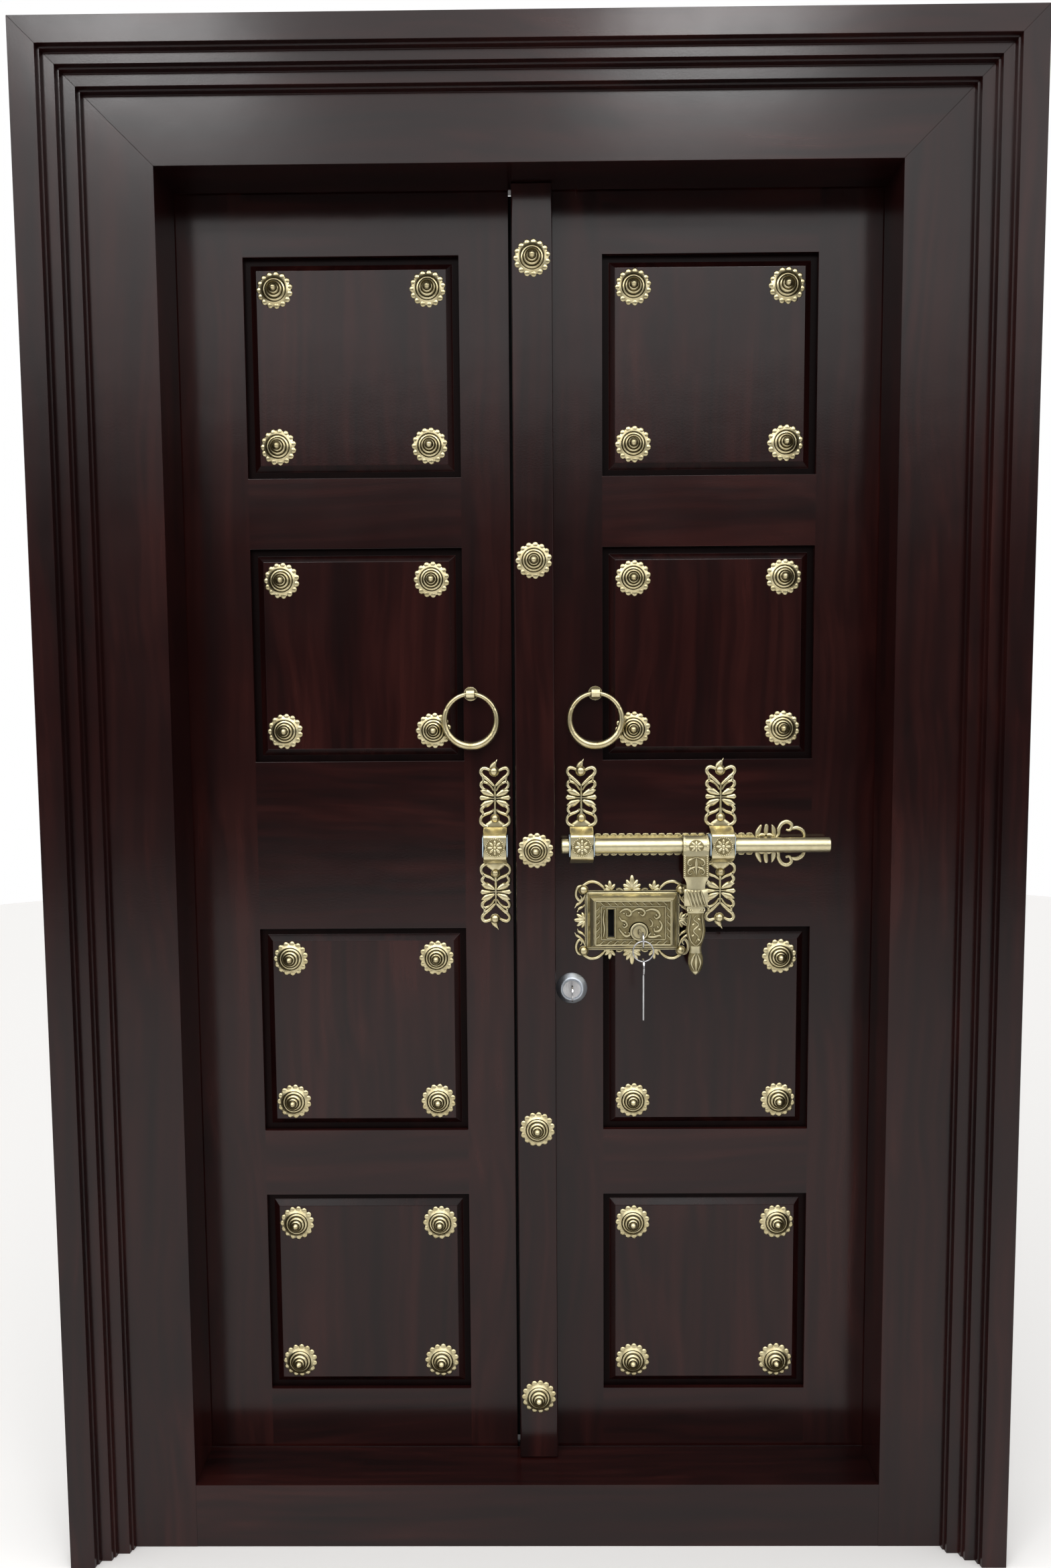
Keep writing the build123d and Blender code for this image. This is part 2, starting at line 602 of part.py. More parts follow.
# The right outer sheet is also pierced for the cylinder
with BuildPart() as right_front_skin:
    add(front_skin(right_low, right_high, RIGHT_PANEL_X))
    with BuildSketch(facing(LEAF_SHEET)):
        with Locations((CYLINDER_X, CYLINDER_Z)):
            Circle(CYLINDER_PLUG_RADIUS + DEADBOLT_CLEARANCE)
    extrude(amount=LEAF_SHEET, mode=Mode.SUBTRACT)
keep(right_front_skin.part, "right_front_skin")

# Left meeting stile: bevelled web, with the strike hole and two slots for the thumb pieces
with BuildPart() as left_meeting_stile:
    add(edge_channel(left_high, left_back_high, 1))
    web_x = (left_back_high - 2 * LEAF_SHEET, left_high + LEAF_SHEET)
    block(web_x, deadbolt_room_y, deadbolt_room_z, Mode.SUBTRACT)
    for z, way in zip(thumb_levels, (-1, 1)):
        slot = sorted((z - way * thumb_reach + way * FLUSH_BOLT_THROW, z + way * thumb_reach))
        block(web_x, thumb_slot_y, slot, Mode.SUBTRACT)
keep(left_meeting_stile.part, "left_meeting_stile")

with BuildPart() as right_meeting_stile:
    add(edge_channel(right_low, right_low, -1))
    web_x = (right_low - LEAF_SHEET, right_low + 2 * LEAF_SHEET)
    block(web_x, deadbolt_room_y, deadbolt_room_z, Mode.SUBTRACT)
keep(right_meeting_stile.part, "right_meeting_stile")

bolt_x, bolt_y = flush_bolt_room(FLUSH_BOLT_CLEARANCE)
with BuildPart() as left_rails:
    add(rails(left_low + CHANNEL_FLANGE, left_high - CHANNEL_FLANGE))
    for z in (LEAF_BOTTOM, LEAF_TOP):
        block(bolt_x, bolt_y, (z - 2 * LEAF_SHEET, z + 2 * LEAF_SHEET), Mode.SUBTRACT)
keep(left_rails.part, "left_rails")
keep(rails(right_low + CHANNEL_FLANGE, right_high - CHANNEL_FLANGE), "right_rails")


def core(x_low, x_high, panel_x):
    """Rigid infill between a leaf's two skins, let in where the panel trays are."""
    with BuildPart() as infill:
        block(
            (x_low + CHANNEL_FLANGE, x_high - CHANNEL_FLANGE),
            (core_front, core_back),
            (LEAF_BOTTOM + CHANNEL_FLANGE, LEAF_TOP - CHANNEL_FLANGE),
        )
        with BuildSketch(facing(GROOVE_DEPTH + LEAF_SHEET + SEAL_GAP)):
            with Locations(*panel_spots(panel_x)):
                Rectangle(
                    PANEL_WIDTH + 2 * LEAF_SHEET + 2 * CORE_CLEARANCE,
                    PANEL_HEIGHT + 2 * LEAF_SHEET + 2 * CORE_CLEARANCE,
                )
        extrude(amount=GROOVE_DEPTH + LEAF_SHEET, mode=Mode.SUBTRACT)
    return infill.part


with BuildPart() as left_core:
    add(core(left_low, left_back_high, LEFT_PANEL_X))
    room = FLUSH_BOLT_LENGTH + FLUSH_BOLT_CLEARANCE
    block(bolt_x, bolt_y, (LEAF_BOTTOM, LEAF_BOTTOM + room), Mode.SUBTRACT)
    block(bolt_x, bolt_y, (LEAF_TOP - room, LEAF_TOP), Mode.SUBTRACT)
    for z, way in zip(thumb_levels, (-1, 1)):
        slot = sorted((z - way * thumb_reach + way * FLUSH_BOLT_THROW, z + way * thumb_reach))
        block((FLUSH_BOLT_X, left_high), thumb_slot_y, slot, Mode.SUBTRACT)
keep(left_core.part, "left_core")

with BuildPart() as right_core:
    add(core(right_low, right_high, RIGHT_PANEL_X))
    block(
        (case_x[0], case_x[1] + CORE_CLEARANCE),
        (case_y[0] - CORE_CLEARANCE, case_y[1] + CORE_CLEARANCE),
        (case_z[0] - CORE_CLEARANCE, case_z[1] + CORE_CLEARANCE),
        Mode.SUBTRACT,
    )
    with BuildSketch(facing(case_y[0])):
        with Locations((CYLINDER_X, CYLINDER_Z)):
            Circle(CYLINDER_PLUG_RADIUS + DEADBOLT_CLEARANCE)
    extrude(amount=case_y[0], mode=Mode.SUBTRACT)
keep(right_core.part, "right_core")


def flush_bolt(end_z, way, thumb_z):
    """Square bolt inside the leaf, with a thumb piece reaching the leaf's meeting edge."""
    across, through = flush_bolt_room(0)
    inner_z = end_z - way * FLUSH_BOLT_LENGTH
    with BuildPart() as bolt:
        block(across, through, sorted((end_z, inner_z)))
        block(
            (FLUSH_BOLT_X, left_back_high),
            thumb_y,
            (thumb_z - THUMB_HEIGHT / 2, thumb_z + THUMB_HEIGHT / 2),
        )
    return bolt.part


keep(flush_bolt(LEAF_TOP, 1, thumb_levels[1]), "top_flush_bolt")
keep(flush_bolt(LEAF_BOTTOM, -1, thumb_levels[0]), "bottom_flush_bolt")

# Cylinder lock: case in the leaf's edge, deadbolt, rose and turning plug with its key
with BuildPart() as mortise_case:
    block(case_x, case_y, case_z)
    block(
        (case_x[0], MEETING_X + DEADBOLT_LENGTH + DEADBOLT_GUIDE_FIT),
        (LEAF_MIDDLE_Y - DEADBOLT_THICKNESS / 2 - DEADBOLT_GUIDE_FIT,
         LEAF_MIDDLE_Y + DEADBOLT_THICKNESS / 2 + DEADBOLT_GUIDE_FIT),
        (DEADBOLT_Z - DEADBOLT_HEIGHT / 2 - DEADBOLT_GUIDE_FIT,
         DEADBOLT_Z + DEADBOLT_HEIGHT / 2 + DEADBOLT_GUIDE_FIT),
        Mode.SUBTRACT,
    )
keep(mortise_case.part, "mortise_case")

with BuildPart() as deadbolt:
    block(
        (MEETING_X + LEAF_SHEET / 2, MEETING_X + DEADBOLT_LENGTH),
        (LEAF_MIDDLE_Y - DEADBOLT_THICKNESS / 2, LEAF_MIDDLE_Y + DEADBOLT_THICKNESS / 2),
        (DEADBOLT_Z - DEADBOLT_HEIGHT / 2, DEADBOLT_Z + DEADBOLT_HEIGHT / 2),
    )
keep(deadbolt.part, "deadbolt")

with BuildPart() as cylinder_rose:
    with BuildSketch(facing(0)):
        with Locations((CYLINDER_X, CYLINDER_Z)):
            RegularPolygon(CYLINDER_ROSE_RADIUS, RING_SIDES)
    extrude(amount=CYLINDER_ROSE_DEPTH)
    front_rim = cylinder_rose.faces().sort_by(Axis.Y)[0].edges()
    chamfer(front_rim, CYLINDER_ROSE_RADIUS - CYLINDER_ROSE_FRONT_RADIUS)
    with BuildSketch(facing(0)):
        with Locations((CYLINDER_X, CYLINDER_Z)):
            Circle(CYLINDER_PLUG_RADIUS + PLUG_FIT)
    extrude(amount=CYLINDER_ROSE_DEPTH, mode=Mode.SUBTRACT)
keep(cylinder_rose.part, "cylinder_rose")


def key_outline(bow_radius, length, hole_inset):
    """Flat key in its own plane: blade along +X from the origin, round bow pierced near its far end."""
    bow_x = length - bow_radius
    with BuildSketch(mode=Mode.PRIVATE) as flat:
        with Locations((bow_x / 2, 0)):
            Rectangle(bow_x, KEY_BLADE_WIDTH)
        with Locations((bow_x, 0)):
            RegularPolygon(bow_radius, DISC_SIDES)
        with Locations((length - hole_inset, 0)):
            RegularPolygon(KEY_HOLE_RADIUS, WIRE_SIDES, major_radius=False, mode=Mode.SUBTRACT)
    return flat.sketch


def inserted_key(x, z, tip_y, length):
    """A key pushed in along Y with its flat upright, so that its edge faces the viewer."""
    upright = Plane(origin=(x - KEY_THICKNESS / 2, tip_y, z), x_dir=(0, -1, 0), z_dir=(1, 0, 0))
    with BuildPart() as key:
        with BuildSketch(upright):
            add(key_outline(KEY_BOW_RADIUS, length, KEY_HOLE_INSET))
        extrude(amount=KEY_THICKNESS)
    return key.part


def keyed_plug(x, z, front_y, radius, length):
    """Round plug that turns in its seat, slotted through for the key's blade."""
    half_slot = KEY_THICKNESS / 2 + KEY_SLOT_CLEARANCE
    half_blade = KEY_BLADE_WIDTH / 2 + KEY_SLOT_CLEARANCE
    with BuildPart() as plug:
        with BuildSketch(facing(front_y + length)):
            with Locations((x, z)):
                Circle(radius)
                Rectangle(2 * half_slot, 2 * half_blade, mode=Mode.SUBTRACT)
        extrude(amount=length)
    return plug.part


plug_length = case_y[0] + CYLINDER_ROSE_DEPTH - KEY_SLOT_CLEARANCE
cylinder_plug = keyed_plug(CYLINDER_X, CYLINDER_Z, -CYLINDER_ROSE_DEPTH, CYLINDER_PLUG_RADIUS, plug_length)
keep(cylinder_plug, "cylinder_plug")
cylinder_key = inserted_key(CYLINDER_X, CYLINDER_Z, case_y[0] - CYLINDER_KEY_REST, CYLINDER_KEY_LENGTH)
keep(cylinder_key, "cylinder_key")

# Astragal: folded hollow strip, pierced on both sides for the rod
astragal_x = (ASTRAGAL_LEFT_X, ASTRAGAL_LEFT_X + ASTRAGAL_WIDTH)
astragal_z = (SILL_HEIGHT + ASTRAGAL_END_GAP, HEAD_Z - ASTRAGAL_END_GAP)
with BuildPart() as astragal:
    block(astragal_x, (-ASTRAGAL_DEPTH, 0), astragal_z)
    front_edges = astragal.edges().filter_by(Axis.Z).group_by(Axis.Y)[0]
    fillet(front_edges, ASTRAGAL_BEND)
    block(
        (astragal_x[0] + ASTRAGAL_SHEET, astragal_x[1] - ASTRAGAL_SHEET),
        (-ASTRAGAL_DEPTH + ASTRAGAL_SHEET, -ASTRAGAL_SHEET),
        astragal_z,
        Mode.SUBTRACT,
    )
    block(
        (astragal_x[0] + ASTRAGAL_LIP, astragal_x[1] - ASTRAGAL_LIP),
        (-ASTRAGAL_SHEET, 0),
        astragal_z,
        Mode.SUBTRACT,
    )
    with BuildSketch(Plane.YZ.offset(astragal_x[0])):
        with Locations((ROD_Y, ROD_Z)):
            Circle(ROD_RADIUS + ROD_PASSAGE_CLEARANCE)
    extrude(amount=ASTRAGAL_WIDTH, mode=Mode.SUBTRACT)
keep(astragal.part, "astragal")


def petal_points():
    """Notched round outline of a stud's petal disc."""
    half_step = math.pi / STUD_PETALS
    points = []
    for i in range(2 * STUD_PETALS):
        radius = STUD_RADIUS if i % 2 == 0 else STUD_NOTCH_RADIUS
        points.append((radius * math.cos(i * half_step), radius * math.sin(i * half_step)))
    return points


def petal_discs(spots, y):
    """Petal discs of the studs, lying on the face at depth y."""
    with BuildPart() as discs:
        with BuildSketch(facing(y)):
            with Locations(*spots):
                Polygon(*petal_points())
        extrude(amount=STUD_DISC)
    return discs.part


def stud_domes(spots, y):
    """Domes of the studs in two turned steps, each an upright band under a sloping shoulder."""
    foot = y - STUD_DISC
    top_height = STUD_HEIGHT - STUD_DISC - STUD_STEP_HEIGHT
    steps = (
        (foot, STUD_DOME_RADIUS, STUD_STEP_HEIGHT, STUD_STEP_RADIUS),
        (foot - STUD_STEP_HEIGHT, STUD_STEP_RADIUS, top_height, STUD_TIP_RADIUS),
    )
    with BuildPart() as domes:
        for base, radius, height, top_radius in steps:
            with BuildSketch(facing(base)):
                with Locations(*spots):
                    RegularPolygon(radius, DOME_SIDES)
            extrude(amount=height)
            chamfer(domes.edges().group_by(Axis.Y)[0], radius - top_radius)
    return domes.part


def stud_spots(panel_x, hidden=()):
    """Four studs near the corners of each panel, less those hidden behind other ironmongery."""
    spots = []
    for level, z in enumerate(PANEL_LEVELS):
        for across in (-0.5, 0.5):
            for up in (-0.5, 0.5):
                if (level, across, up) not in hidden:
                    spots.append((panel_x + across * STUD_PITCH_X, z + up * STUD_PITCH_Z))
    return spots


left_studs = stud_spots(LEFT_PANEL_X)
right_studs = stud_spots(RIGHT_PANEL_X, hidden=((1, -0.5, 0.5),))
lowest_centre_stud = SILL_HEIGHT + CENTRE_STUD_FROM_SILL
centre_studs = [
    (ASTRAGAL_MIDDLE_X, lowest_centre_stud + i * CENTRE_STUD_RISE / (CENTRE_STUD_COUNT - 1))
    for i in range(CENTRE_STUD_COUNT)
]
keep(petal_discs(left_studs, FIELD_SETBACK), "left_stud_petals")
keep(stud_domes(left_studs, FIELD_SETBACK), "left_stud_domes")
keep(petal_discs(right_studs, FIELD_SETBACK), "right_stud_petals")
keep(stud_domes(right_studs, FIELD_SETBACK), "right_stud_domes")
keep(petal_discs(centre_studs, -ASTRAGAL_DEPTH), "centre_stud_petals")
keep(stud_domes(centre_studs, -ASTRAGAL_DEPTH), "centre_stud_domes")


def ring_rose(x):
    """Rose of a ring handle with the eye that the ring hangs in."""
    with BuildPart() as rose:
        with BuildSketch(facing(0)):
            with Locations((x, RING_PIVOT_Z)):
                RegularPolygon(RING_ROSE_RADIUS, DISC_SIDES)
        extrude(amount=RING_ROSE_THICKNESS)
        with BuildSketch(Plane.YZ.offset(x - LUG_WIDTH / 2)):
            with Locations((RING_PIVOT_Y, RING_PIVOT_Z)):
                RegularPolygon(LUG_RADIUS, DISC_SIDES)
            with Locations((RING_PIVOT_Y / 2, RING_PIVOT_Z)):
                Rectangle(-RING_PIVOT_Y, 2 * LUG_RADIUS)
        extrude(amount=LUG_WIDTH)
        with BuildSketch(Plane.YZ.offset(x - LUG_WIDTH / 2)):
            with Locations((RING_PIVOT_Y, RING_PIVOT_Z)):
                RegularPolygon(LUG_BORE / 2, DISC_SIDES, major_radius=False)
        extrude(amount=LUG_WIDTH, mode=Mode.SUBTRACT)
    return rose.part


def hanging_ring(x, y, top_z, radius, wire, sides):
    """A ring hanging flat to the doorway, with its wire's top centre at top_z."""
    with BuildPart() as ring:
        with BuildLine(Plane.XZ.offset(-y)) as hoop:
            points = []
            for i in range(sides):
                angle = math.pi * (2 * i + 1) / sides
                points.append((x + radius * math.sin(angle), top_z - radius + radius * math.cos(angle)))
            Polyline(*points, close=True)
        with BuildSketch(Plane(origin=hoop.line @ 0, z_dir=hoop.line % 0)):
            RegularPolygon(wire / 2, WIRE_SIDES)
        sweep(path=hoop.line, transition=Transition.RIGHT)
    return ring.part


for name, x in (("left", PANEL_AXIS_X - RING_MOUNT_X), ("right", PANEL_AXIS_X + RING_MOUNT_X)):
    keep(ring_rose(x), name + "_ring_rose")
    keep(hanging_ring(x, RING_PIVOT_Y, RING_PIVOT_Z, RING_RADIUS, RING_WIRE, RING_SIDES), name + "_ring")

# Rod lock. The palmette's right half, as distance from its spine and height above the rod's axis:
# shoulder, lower loop, lower scroll, lower wing, club arm, upper wing, upper scroll and heart.
palmette_edge = [
    (17, CLAMP_FOOT - CLAMP_PLATE), (17, 28), (21, 30.5), (23, 35.5), (20.5, 40.5), (18.5, 44),
    (22, 48.5), (20.5, 53), (15, 54.5), (22.5, 58), (15, 63.2), (8, 65.2), (20, 64.6), (23.5, 67.8),
    (20, 71), (8, 70.4), (15, 72.4), (22.5, 77.5), (15, 82), (20, 83.5), (22.5, 89), (20.5, 94),
    (17, 96.5), (21, 102), (21.5, 108.5), (18, 113.5), (12, 114.5), (7, 112),
]
lower_loop = [(9, 36), (11, 30.5), (16, 31.5), (19, 35), (17.5, 39.5), (12, 40.5)]
lower_scroll = [(3.5, 49), (9, 45), (15, 46), (17, 50), (12.5, 53), (3.5, 57)]
upper_scroll = [(3.5, 78.5), (12.5, 83), (16.5, 88), (15, 92.5), (9, 91.5), (3.5, 86)]
heart = [(0, 93.5), (9, 99.5), (16, 105), (15.5, 109), (12, 110.5), (7, 106), (0, 102)]
flame = [(-7, 108), (-6.5, 115), (-3, 121), (2, 128.5), (2.6, 121), (7, 112), (7, 108)]


def mirrored(points):
    """The points, closed by their reflection across the spine."""
    return points + [(-x, z) for x, z in reversed(points) if x > 0]


def palmette(x, way):
    """Outline of the openwork palmette above the rod, or below it where way is -1."""
    def placed(points):
        return [(x + across, ROD_Z + way * up) for across, up in points]
    with BuildSketch(mode=Mode.PRIVATE) as fretwork:
        Polygon(*placed(mirrored(palmette_edge)), align=None)
        Polygon(*placed(flame), align=None)
        Polygon(*placed(mirrored(heart)), align=None, mode=Mode.SUBTRACT)
        for hole in (lower_loop, lower_scroll, upper_scroll):
            Polygon(*placed(hole), align=None, mode=Mode.SUBTRACT)
            Polygon(*placed([(-across, up) for across, up in hole]), align=None, mode=Mode.SUBTRACT)
    return fretwork.sketch


def clamp(x, ways):
    """Cast clamp: an arched strap over the rod, with a palmette at each end named in ways."""
    with BuildPart() as casting:
        with BuildSketch(Plane.YZ.offset(x - CLAMP_WIDTH / 2)):
            with BuildLine():
                Polyline(
                    (0, ROD_Z - CLAMP_FOOT),
                    (-CLAMP_FRONT, ROD_Z - CLAMP_CROWN),
                    (-CLAMP_FRONT, ROD_Z + CLAMP_CROWN),
                    (0, ROD_Z + CLAMP_FOOT),
                )
                offset(amount=CLAMP_PLATE, side=Side.RIGHT, kind=Kind.INTERSECTION)
            make_face()
        extrude(amount=CLAMP_WIDTH)
        for way in ways:
            with BuildSketch(facing(0)):
                add(palmette(x, way))
            extrude(amount=CLAMP_PLATE)
        block(
            (x - CLAMP_WIDTH, x + CLAMP_WIDTH),
            (0, CLAMP_WIDTH),
            (ROD_Z - CLAMP_WIDTH, ROD_Z + CLAMP_WIDTH),
            Mode.SUBTRACT,
        )
    return casting.part


def bush(x, back_y):
    """Nylon bush that fills the arch and guides the rod."""
    with BuildPart() as guide:
        block(
            (x - BUSH_LENGTH / 2, x + BUSH_LENGTH / 2),
            (-CLAMP_FRONT + CLAMP_PLATE, back_y),
            (ROD_Z - BUSH_HALF_HEIGHT, ROD_Z + BUSH_HALF_HEIGHT),
        )
        chamfer(guide.edges().filter_by(Axis.X).group_by(Axis.Y)[0], CLAMP_PLATE)
        with BuildSketch(Plane.YZ.offset(x - BUSH_LENGTH / 2)):
            with Locations((ROD_Y, ROD_Z)):
                Circle(ROD_RADIUS + ROD_FIT)
        extrude(amount=BUSH_LENGTH, mode=Mode.SUBTRACT)
    return guide.part


def dome_screws(spots, y):
    """Domed screw heads standing on the face at depth y."""
    with BuildPart() as heads:
        for x, z in spots:
            with BuildSketch(facing(y)):
                with Locations((x, z)):
                    RegularPolygon(DOME_RADIUS, SCREW_SIDES)
            extrude(amount=DOME_HEIGHT)
        chamfer(heads.edges().group_by(Axis.Y)[0], DOME_RADIUS - DOME_TOP_RADIUS)
    return heads.part


def clamp_domes(x, ways):
    """Places of the screws that hold a clamp's palmettes."""
    return [(x, ROD_Z + way * up) for way in ways for up in (INNER_DOME_Z, END_DOME_Z)]


keep(clamp(KEEPER_X, (1, -1)), "keeper_clamp")
keep(clamp(INNER_CLAMP_X, (1,)), "inner_clamp")
keep(clamp(OUTER_CLAMP_X, (1, -1)), "outer_clamp")
keep(bush(KEEPER_X, 0), "keeper_bush")
with BuildPart() as clamp_bushes:
    add(bush(INNER_CLAMP_X, 0))
    add(bush(OUTER_CLAMP_X, -BACK_PLATE))
keep(clamp_bushes.part, "clamp_bushes")
keep(dome_screws(clamp_domes(KEEPER_X, (1, -1)), -CLAMP_PLATE), "keeper_screws")

with BuildPart() as bolt_rod:
    with BuildSketch(Plane.YZ.offset(ROD_LEFT_X)):
        with Locations((ROD_Y, ROD_Z)):
            Circle(ROD_RADIUS)
    extrude(amount=ROD_LENGTH)
    chamfer(bolt_rod.edges().filter_by(GeomType.CIRCLE), ROD_CHAMFER)
keep(bolt_rod.part, "bolt_rod")

# Back plate behind the rod: scalloped strip, then a winged piece and a trefoil end
plate_start = INNER_CLAMP_X + BUSH_LENGTH / 2 + ROD_FIT
plate_end = plate_start + SCALLOP_COUNT * SCALLOP_PITCH
scallops = [(plate_start, BACK_PLATE_HALF)]
for i in range(SCALLOP_COUNT):
    lobe = plate_start + i * SCALLOP_PITCH
    scallops.append((lobe + 0.2 * SCALLOP_PITCH, BACK_PLATE_HALF + SCALLOP))
    scallops.append((lobe + 0.8 * SCALLOP_PITCH, BACK_PLATE_HALF + SCALLOP))
    scallops.append((lobe + SCALLOP_PITCH, BACK_PLATE_HALF))
plate_tail = [
    (plate_end + 4, 8), (plate_end + 8, 26), (plate_end + 14, 28), (plate_end + 17, 15),
    (plate_end + 19, 29), (plate_end + 25, 29), (plate_end + 27, 15), (plate_end + 31, 27),
    (plate_end + 37, 24), (plate_end + 36, 15), (plate_end + 41, 31), (plate_end + 49, 34),
    (plate_end + 56, 29), (plate_end + 60, 24), (plate_end + 68, 24), (plate_end + 76, 17),
    (plate_end + 77, 9), (plate_end + 70, 6),
]
tail_hole = [(plate_end + 46, 20), (plate_end + 50, 27), (plate_end + 55, 24), (plate_end + 54, 17)]
with BuildPart() as rod_back_plate:
    with BuildSketch(facing(0)):
        upper = scallops + plate_tail
        outline = upper + [(x, -z) for x, z in reversed(upper)]
        Polygon(*[(x, ROD_Z + z) for x, z in outline], align=None)
        for way in (1, -1):
            Polygon(*[(x, ROD_Z + way * z) for x, z in tail_hole], align=None, mode=Mode.SUBTRACT)
    extrude(amount=BACK_PLATE)
keep(rod_back_plate.part, "rod_back_plate")

# Handle: a collar round the rod, a carved hasp plate, a roped band and a waisted grip
handle_x = COLLAR_LEFT_X + COLLAR_LENGTH / 2
hasp_outline = [
    (HASP_HALF_WIDTH, 6), (HASP_HALF_WIDTH, -44), (13.8, -56), (14, -66), (12.5, -88), (13.4, -92),
    (11.5, -104), (13.7, -126), (11, -139), (8.2, -150), (10.4, -165), (10.2, -177), (6, -187), (0, -191),
]
band_outline = [
    (BAND_DEPTH * math.cos(turn), BAND_LENGTH * math.sin(turn))
    for turn in [2 * math.pi * i / BAND_SIDES for i in range(BAND_SIDES)]
]
with BuildPart() as handle:
    with BuildSketch(Plane.YZ.offset(COLLAR_LEFT_X)):
        with Locations((ROD_Y, ROD_Z)):
            RegularPolygon(COLLAR_RADIUS, DISC_SIDES, major_radius=False)
    extrude(amount=COLLAR_LENGTH)
    with BuildSketch(facing(HASP_BACK_Y)):
        sides = hasp_outline + [(-x, z) for x, z in reversed(hasp_outline) if x > 0]
        Polygon(*[(handle_x + x, ROD_Z + z) for x, z in sides], align=None)
    extrude(amount=HASP_THICKNESS)
    with BuildSketch(Plane.YZ.offset(handle_x - BAND_WIDTH / 2)):
        with Locations((HASP_BACK_Y - HASP_THICKNESS / 2, ROD_Z - BAND_DROP)):
            Polygon(*band_outline, align=None)
    extrude(amount=BAND_WIDTH)
    with BuildSketch(Plane.YZ.offset(COLLAR_LEFT_X)):
        with Locations((ROD_Y, ROD_Z)):
            Circle(ROD_RADIUS + ROD_FIT)
    extrude(amount=COLLAR_LENGTH, mode=Mode.SUBTRACT)
keep(handle.part, "handle")

# Lock box: flange, sloping sides, slot for the hasp's staple and boss for the key's plug
boss_front = LOCK_DEPTH + LOCK_BOSS_RISE
box_rise = LOCK_DEPTH - LOCK_FLANGE
with BuildPart() as lock_case:
    with BuildSketch(facing(0)):
        with Locations((LOCK_X, LOCK_Z)):
            Rectangle(LOCK_WIDTH, LOCK_HEIGHT)
    extrude(amount=LOCK_FLANGE)
    with BuildSketch(facing(-LOCK_FLANGE)):
        with Locations((LOCK_X, LOCK_Z)):
            Rectangle(LOCK_WIDTH - 2 * LOCK_LEDGE, LOCK_HEIGHT - 2 * LOCK_LEDGE)
    extrude(amount=box_rise, taper=math.degrees(math.atan(LOCK_SLOPE / box_rise)))
    with BuildSketch(facing(-LOCK_DEPTH)):
        with Locations((LOCK_KEY_X, LOCK_KEY_Z)):
            RegularPolygon(LOCK_BOSS_RADIUS, DISC_SIDES)
    extrude(amount=LOCK_BOSS_RISE)
    with BuildSketch(facing(-boss_front)):
        with Locations((LOCK_KEY_X, LOCK_KEY_Z)):
            Circle(PLUG_RADIUS + PLUG_FIT)
    extrude(amount=-PLUG_LENGTH - PLUG_FIT, mode=Mode.SUBTRACT)
    with BuildSketch(facing(-LOCK_DEPTH)):
        with Locations((LOCK_X + LOCK_SLOT_X, LOCK_Z)):
            Rectangle(LOCK_SLOT_WIDTH, LOCK_SLOT_HEIGHT)
    extrude(amount=-LOCK_SLOT_DEPTH, mode=Mode.SUBTRACT)
keep(lock_case.part, "lock_case")

# Openwork border round the lock box: corner scrolls, side fleurons and a palmette above and below,
# given for one quarter from the middle of the top to the middle of the right side
quarter = [
    (0, 66), (4, 62), (12, 60), (13.5, 54), (12, 46.5), (28, 46.5), (24, 53), (27, 56),
    (33, 60), (37, 55), (50, 60), (63, 58.5), (72, 53), (80, 45), (84, 33), (80, 27), (84, 20),
    (78, 16.5), (72, 14), (69, 11.5), (74, 9), (79, 6.5), (86, 0),
]
corner_hole = [(43, 47), (52, 55), (61, 53.5), (64, 47)]
side_hole = [(69.5, 23), (72, 19.5), (79, 30), (77, 37), (69.5, 37)]
border_window = (LOCK_WIDTH, LOCK_HEIGHT)
corner_x = LOCK_WIDTH / 2 + CORNER_SCREW_OUT
corner_z = LOCK_HEIGHT / 2 + CORNER_SCREW_UP
corner_domes = [(sx * corner_x, sz * corner_z) for sx in (-1, 1) for sz in (-1, 1)]


def quartered(points):
    """A quarter outline repeated into all four corners, in order round the middle."""
    right = points + [(x, -z) for x, z in reversed(points[:-1])]
    return right + [(-x, z) for x, z in reversed(right[1:-1])]


with BuildPart() as lock_border:
    with BuildSketch(facing(0)):
        Polygon(*[(LOCK_X + x, LOCK_Z + z) for x, z in quartered(quarter)], align=None)
        with Locations((LOCK_X, LOCK_Z)):
            Rectangle(*border_window, mode=Mode.SUBTRACT)
        for hole in (corner_hole, side_hole):
            for sx in (-1, 1):
                for sz in (-1, 1):
                    placed = [(LOCK_X + sx * x, LOCK_Z + sz * z) for x, z in hole]
                    Polygon(*placed, align=None, mode=Mode.SUBTRACT)
    extrude(amount=LOCK_FLANGE)
keep(lock_border.part, "lock_border")

lock_dome_spots = [(LOCK_X + x, LOCK_Z + z) for x, z in corner_domes]
with BuildPart() as right_screws:
    add(dome_screws(clamp_domes(INNER_CLAMP_X, (1,)) + clamp_domes(OUTER_CLAMP_X, (1, -1)), -CLAMP_PLATE))
    add(dome_screws(lock_dome_spots, -LOCK_FLANGE))
keep(right_screws.part, "right_screws")

# Key and plug of the lock box, the key ring in the key's bow, and a second key hanging from the ring
key_tip_y = -boss_front + PLUG_LENGTH
keep(keyed_plug(LOCK_KEY_X, LOCK_KEY_Z, -boss_front, PLUG_RADIUS, PLUG_LENGTH), "lock_plug")
keep(inserted_key(LOCK_KEY_X, LOCK_KEY_Z, key_tip_y - KEY_RING_SLACK, KEY_LENGTH), "lock_key")
bow_hole_y = key_tip_y - KEY_RING_SLACK - KEY_LENGTH + KEY_HOLE_INSET
ring_top_z = LOCK_KEY_Z
key_ring = hanging_ring(LOCK_KEY_X, bow_hole_y, ring_top_z, KEY_RING_RADIUS, KEY_RING_WIRE, KEY_RING_SIDES)
keep(key_ring, "key_ring")

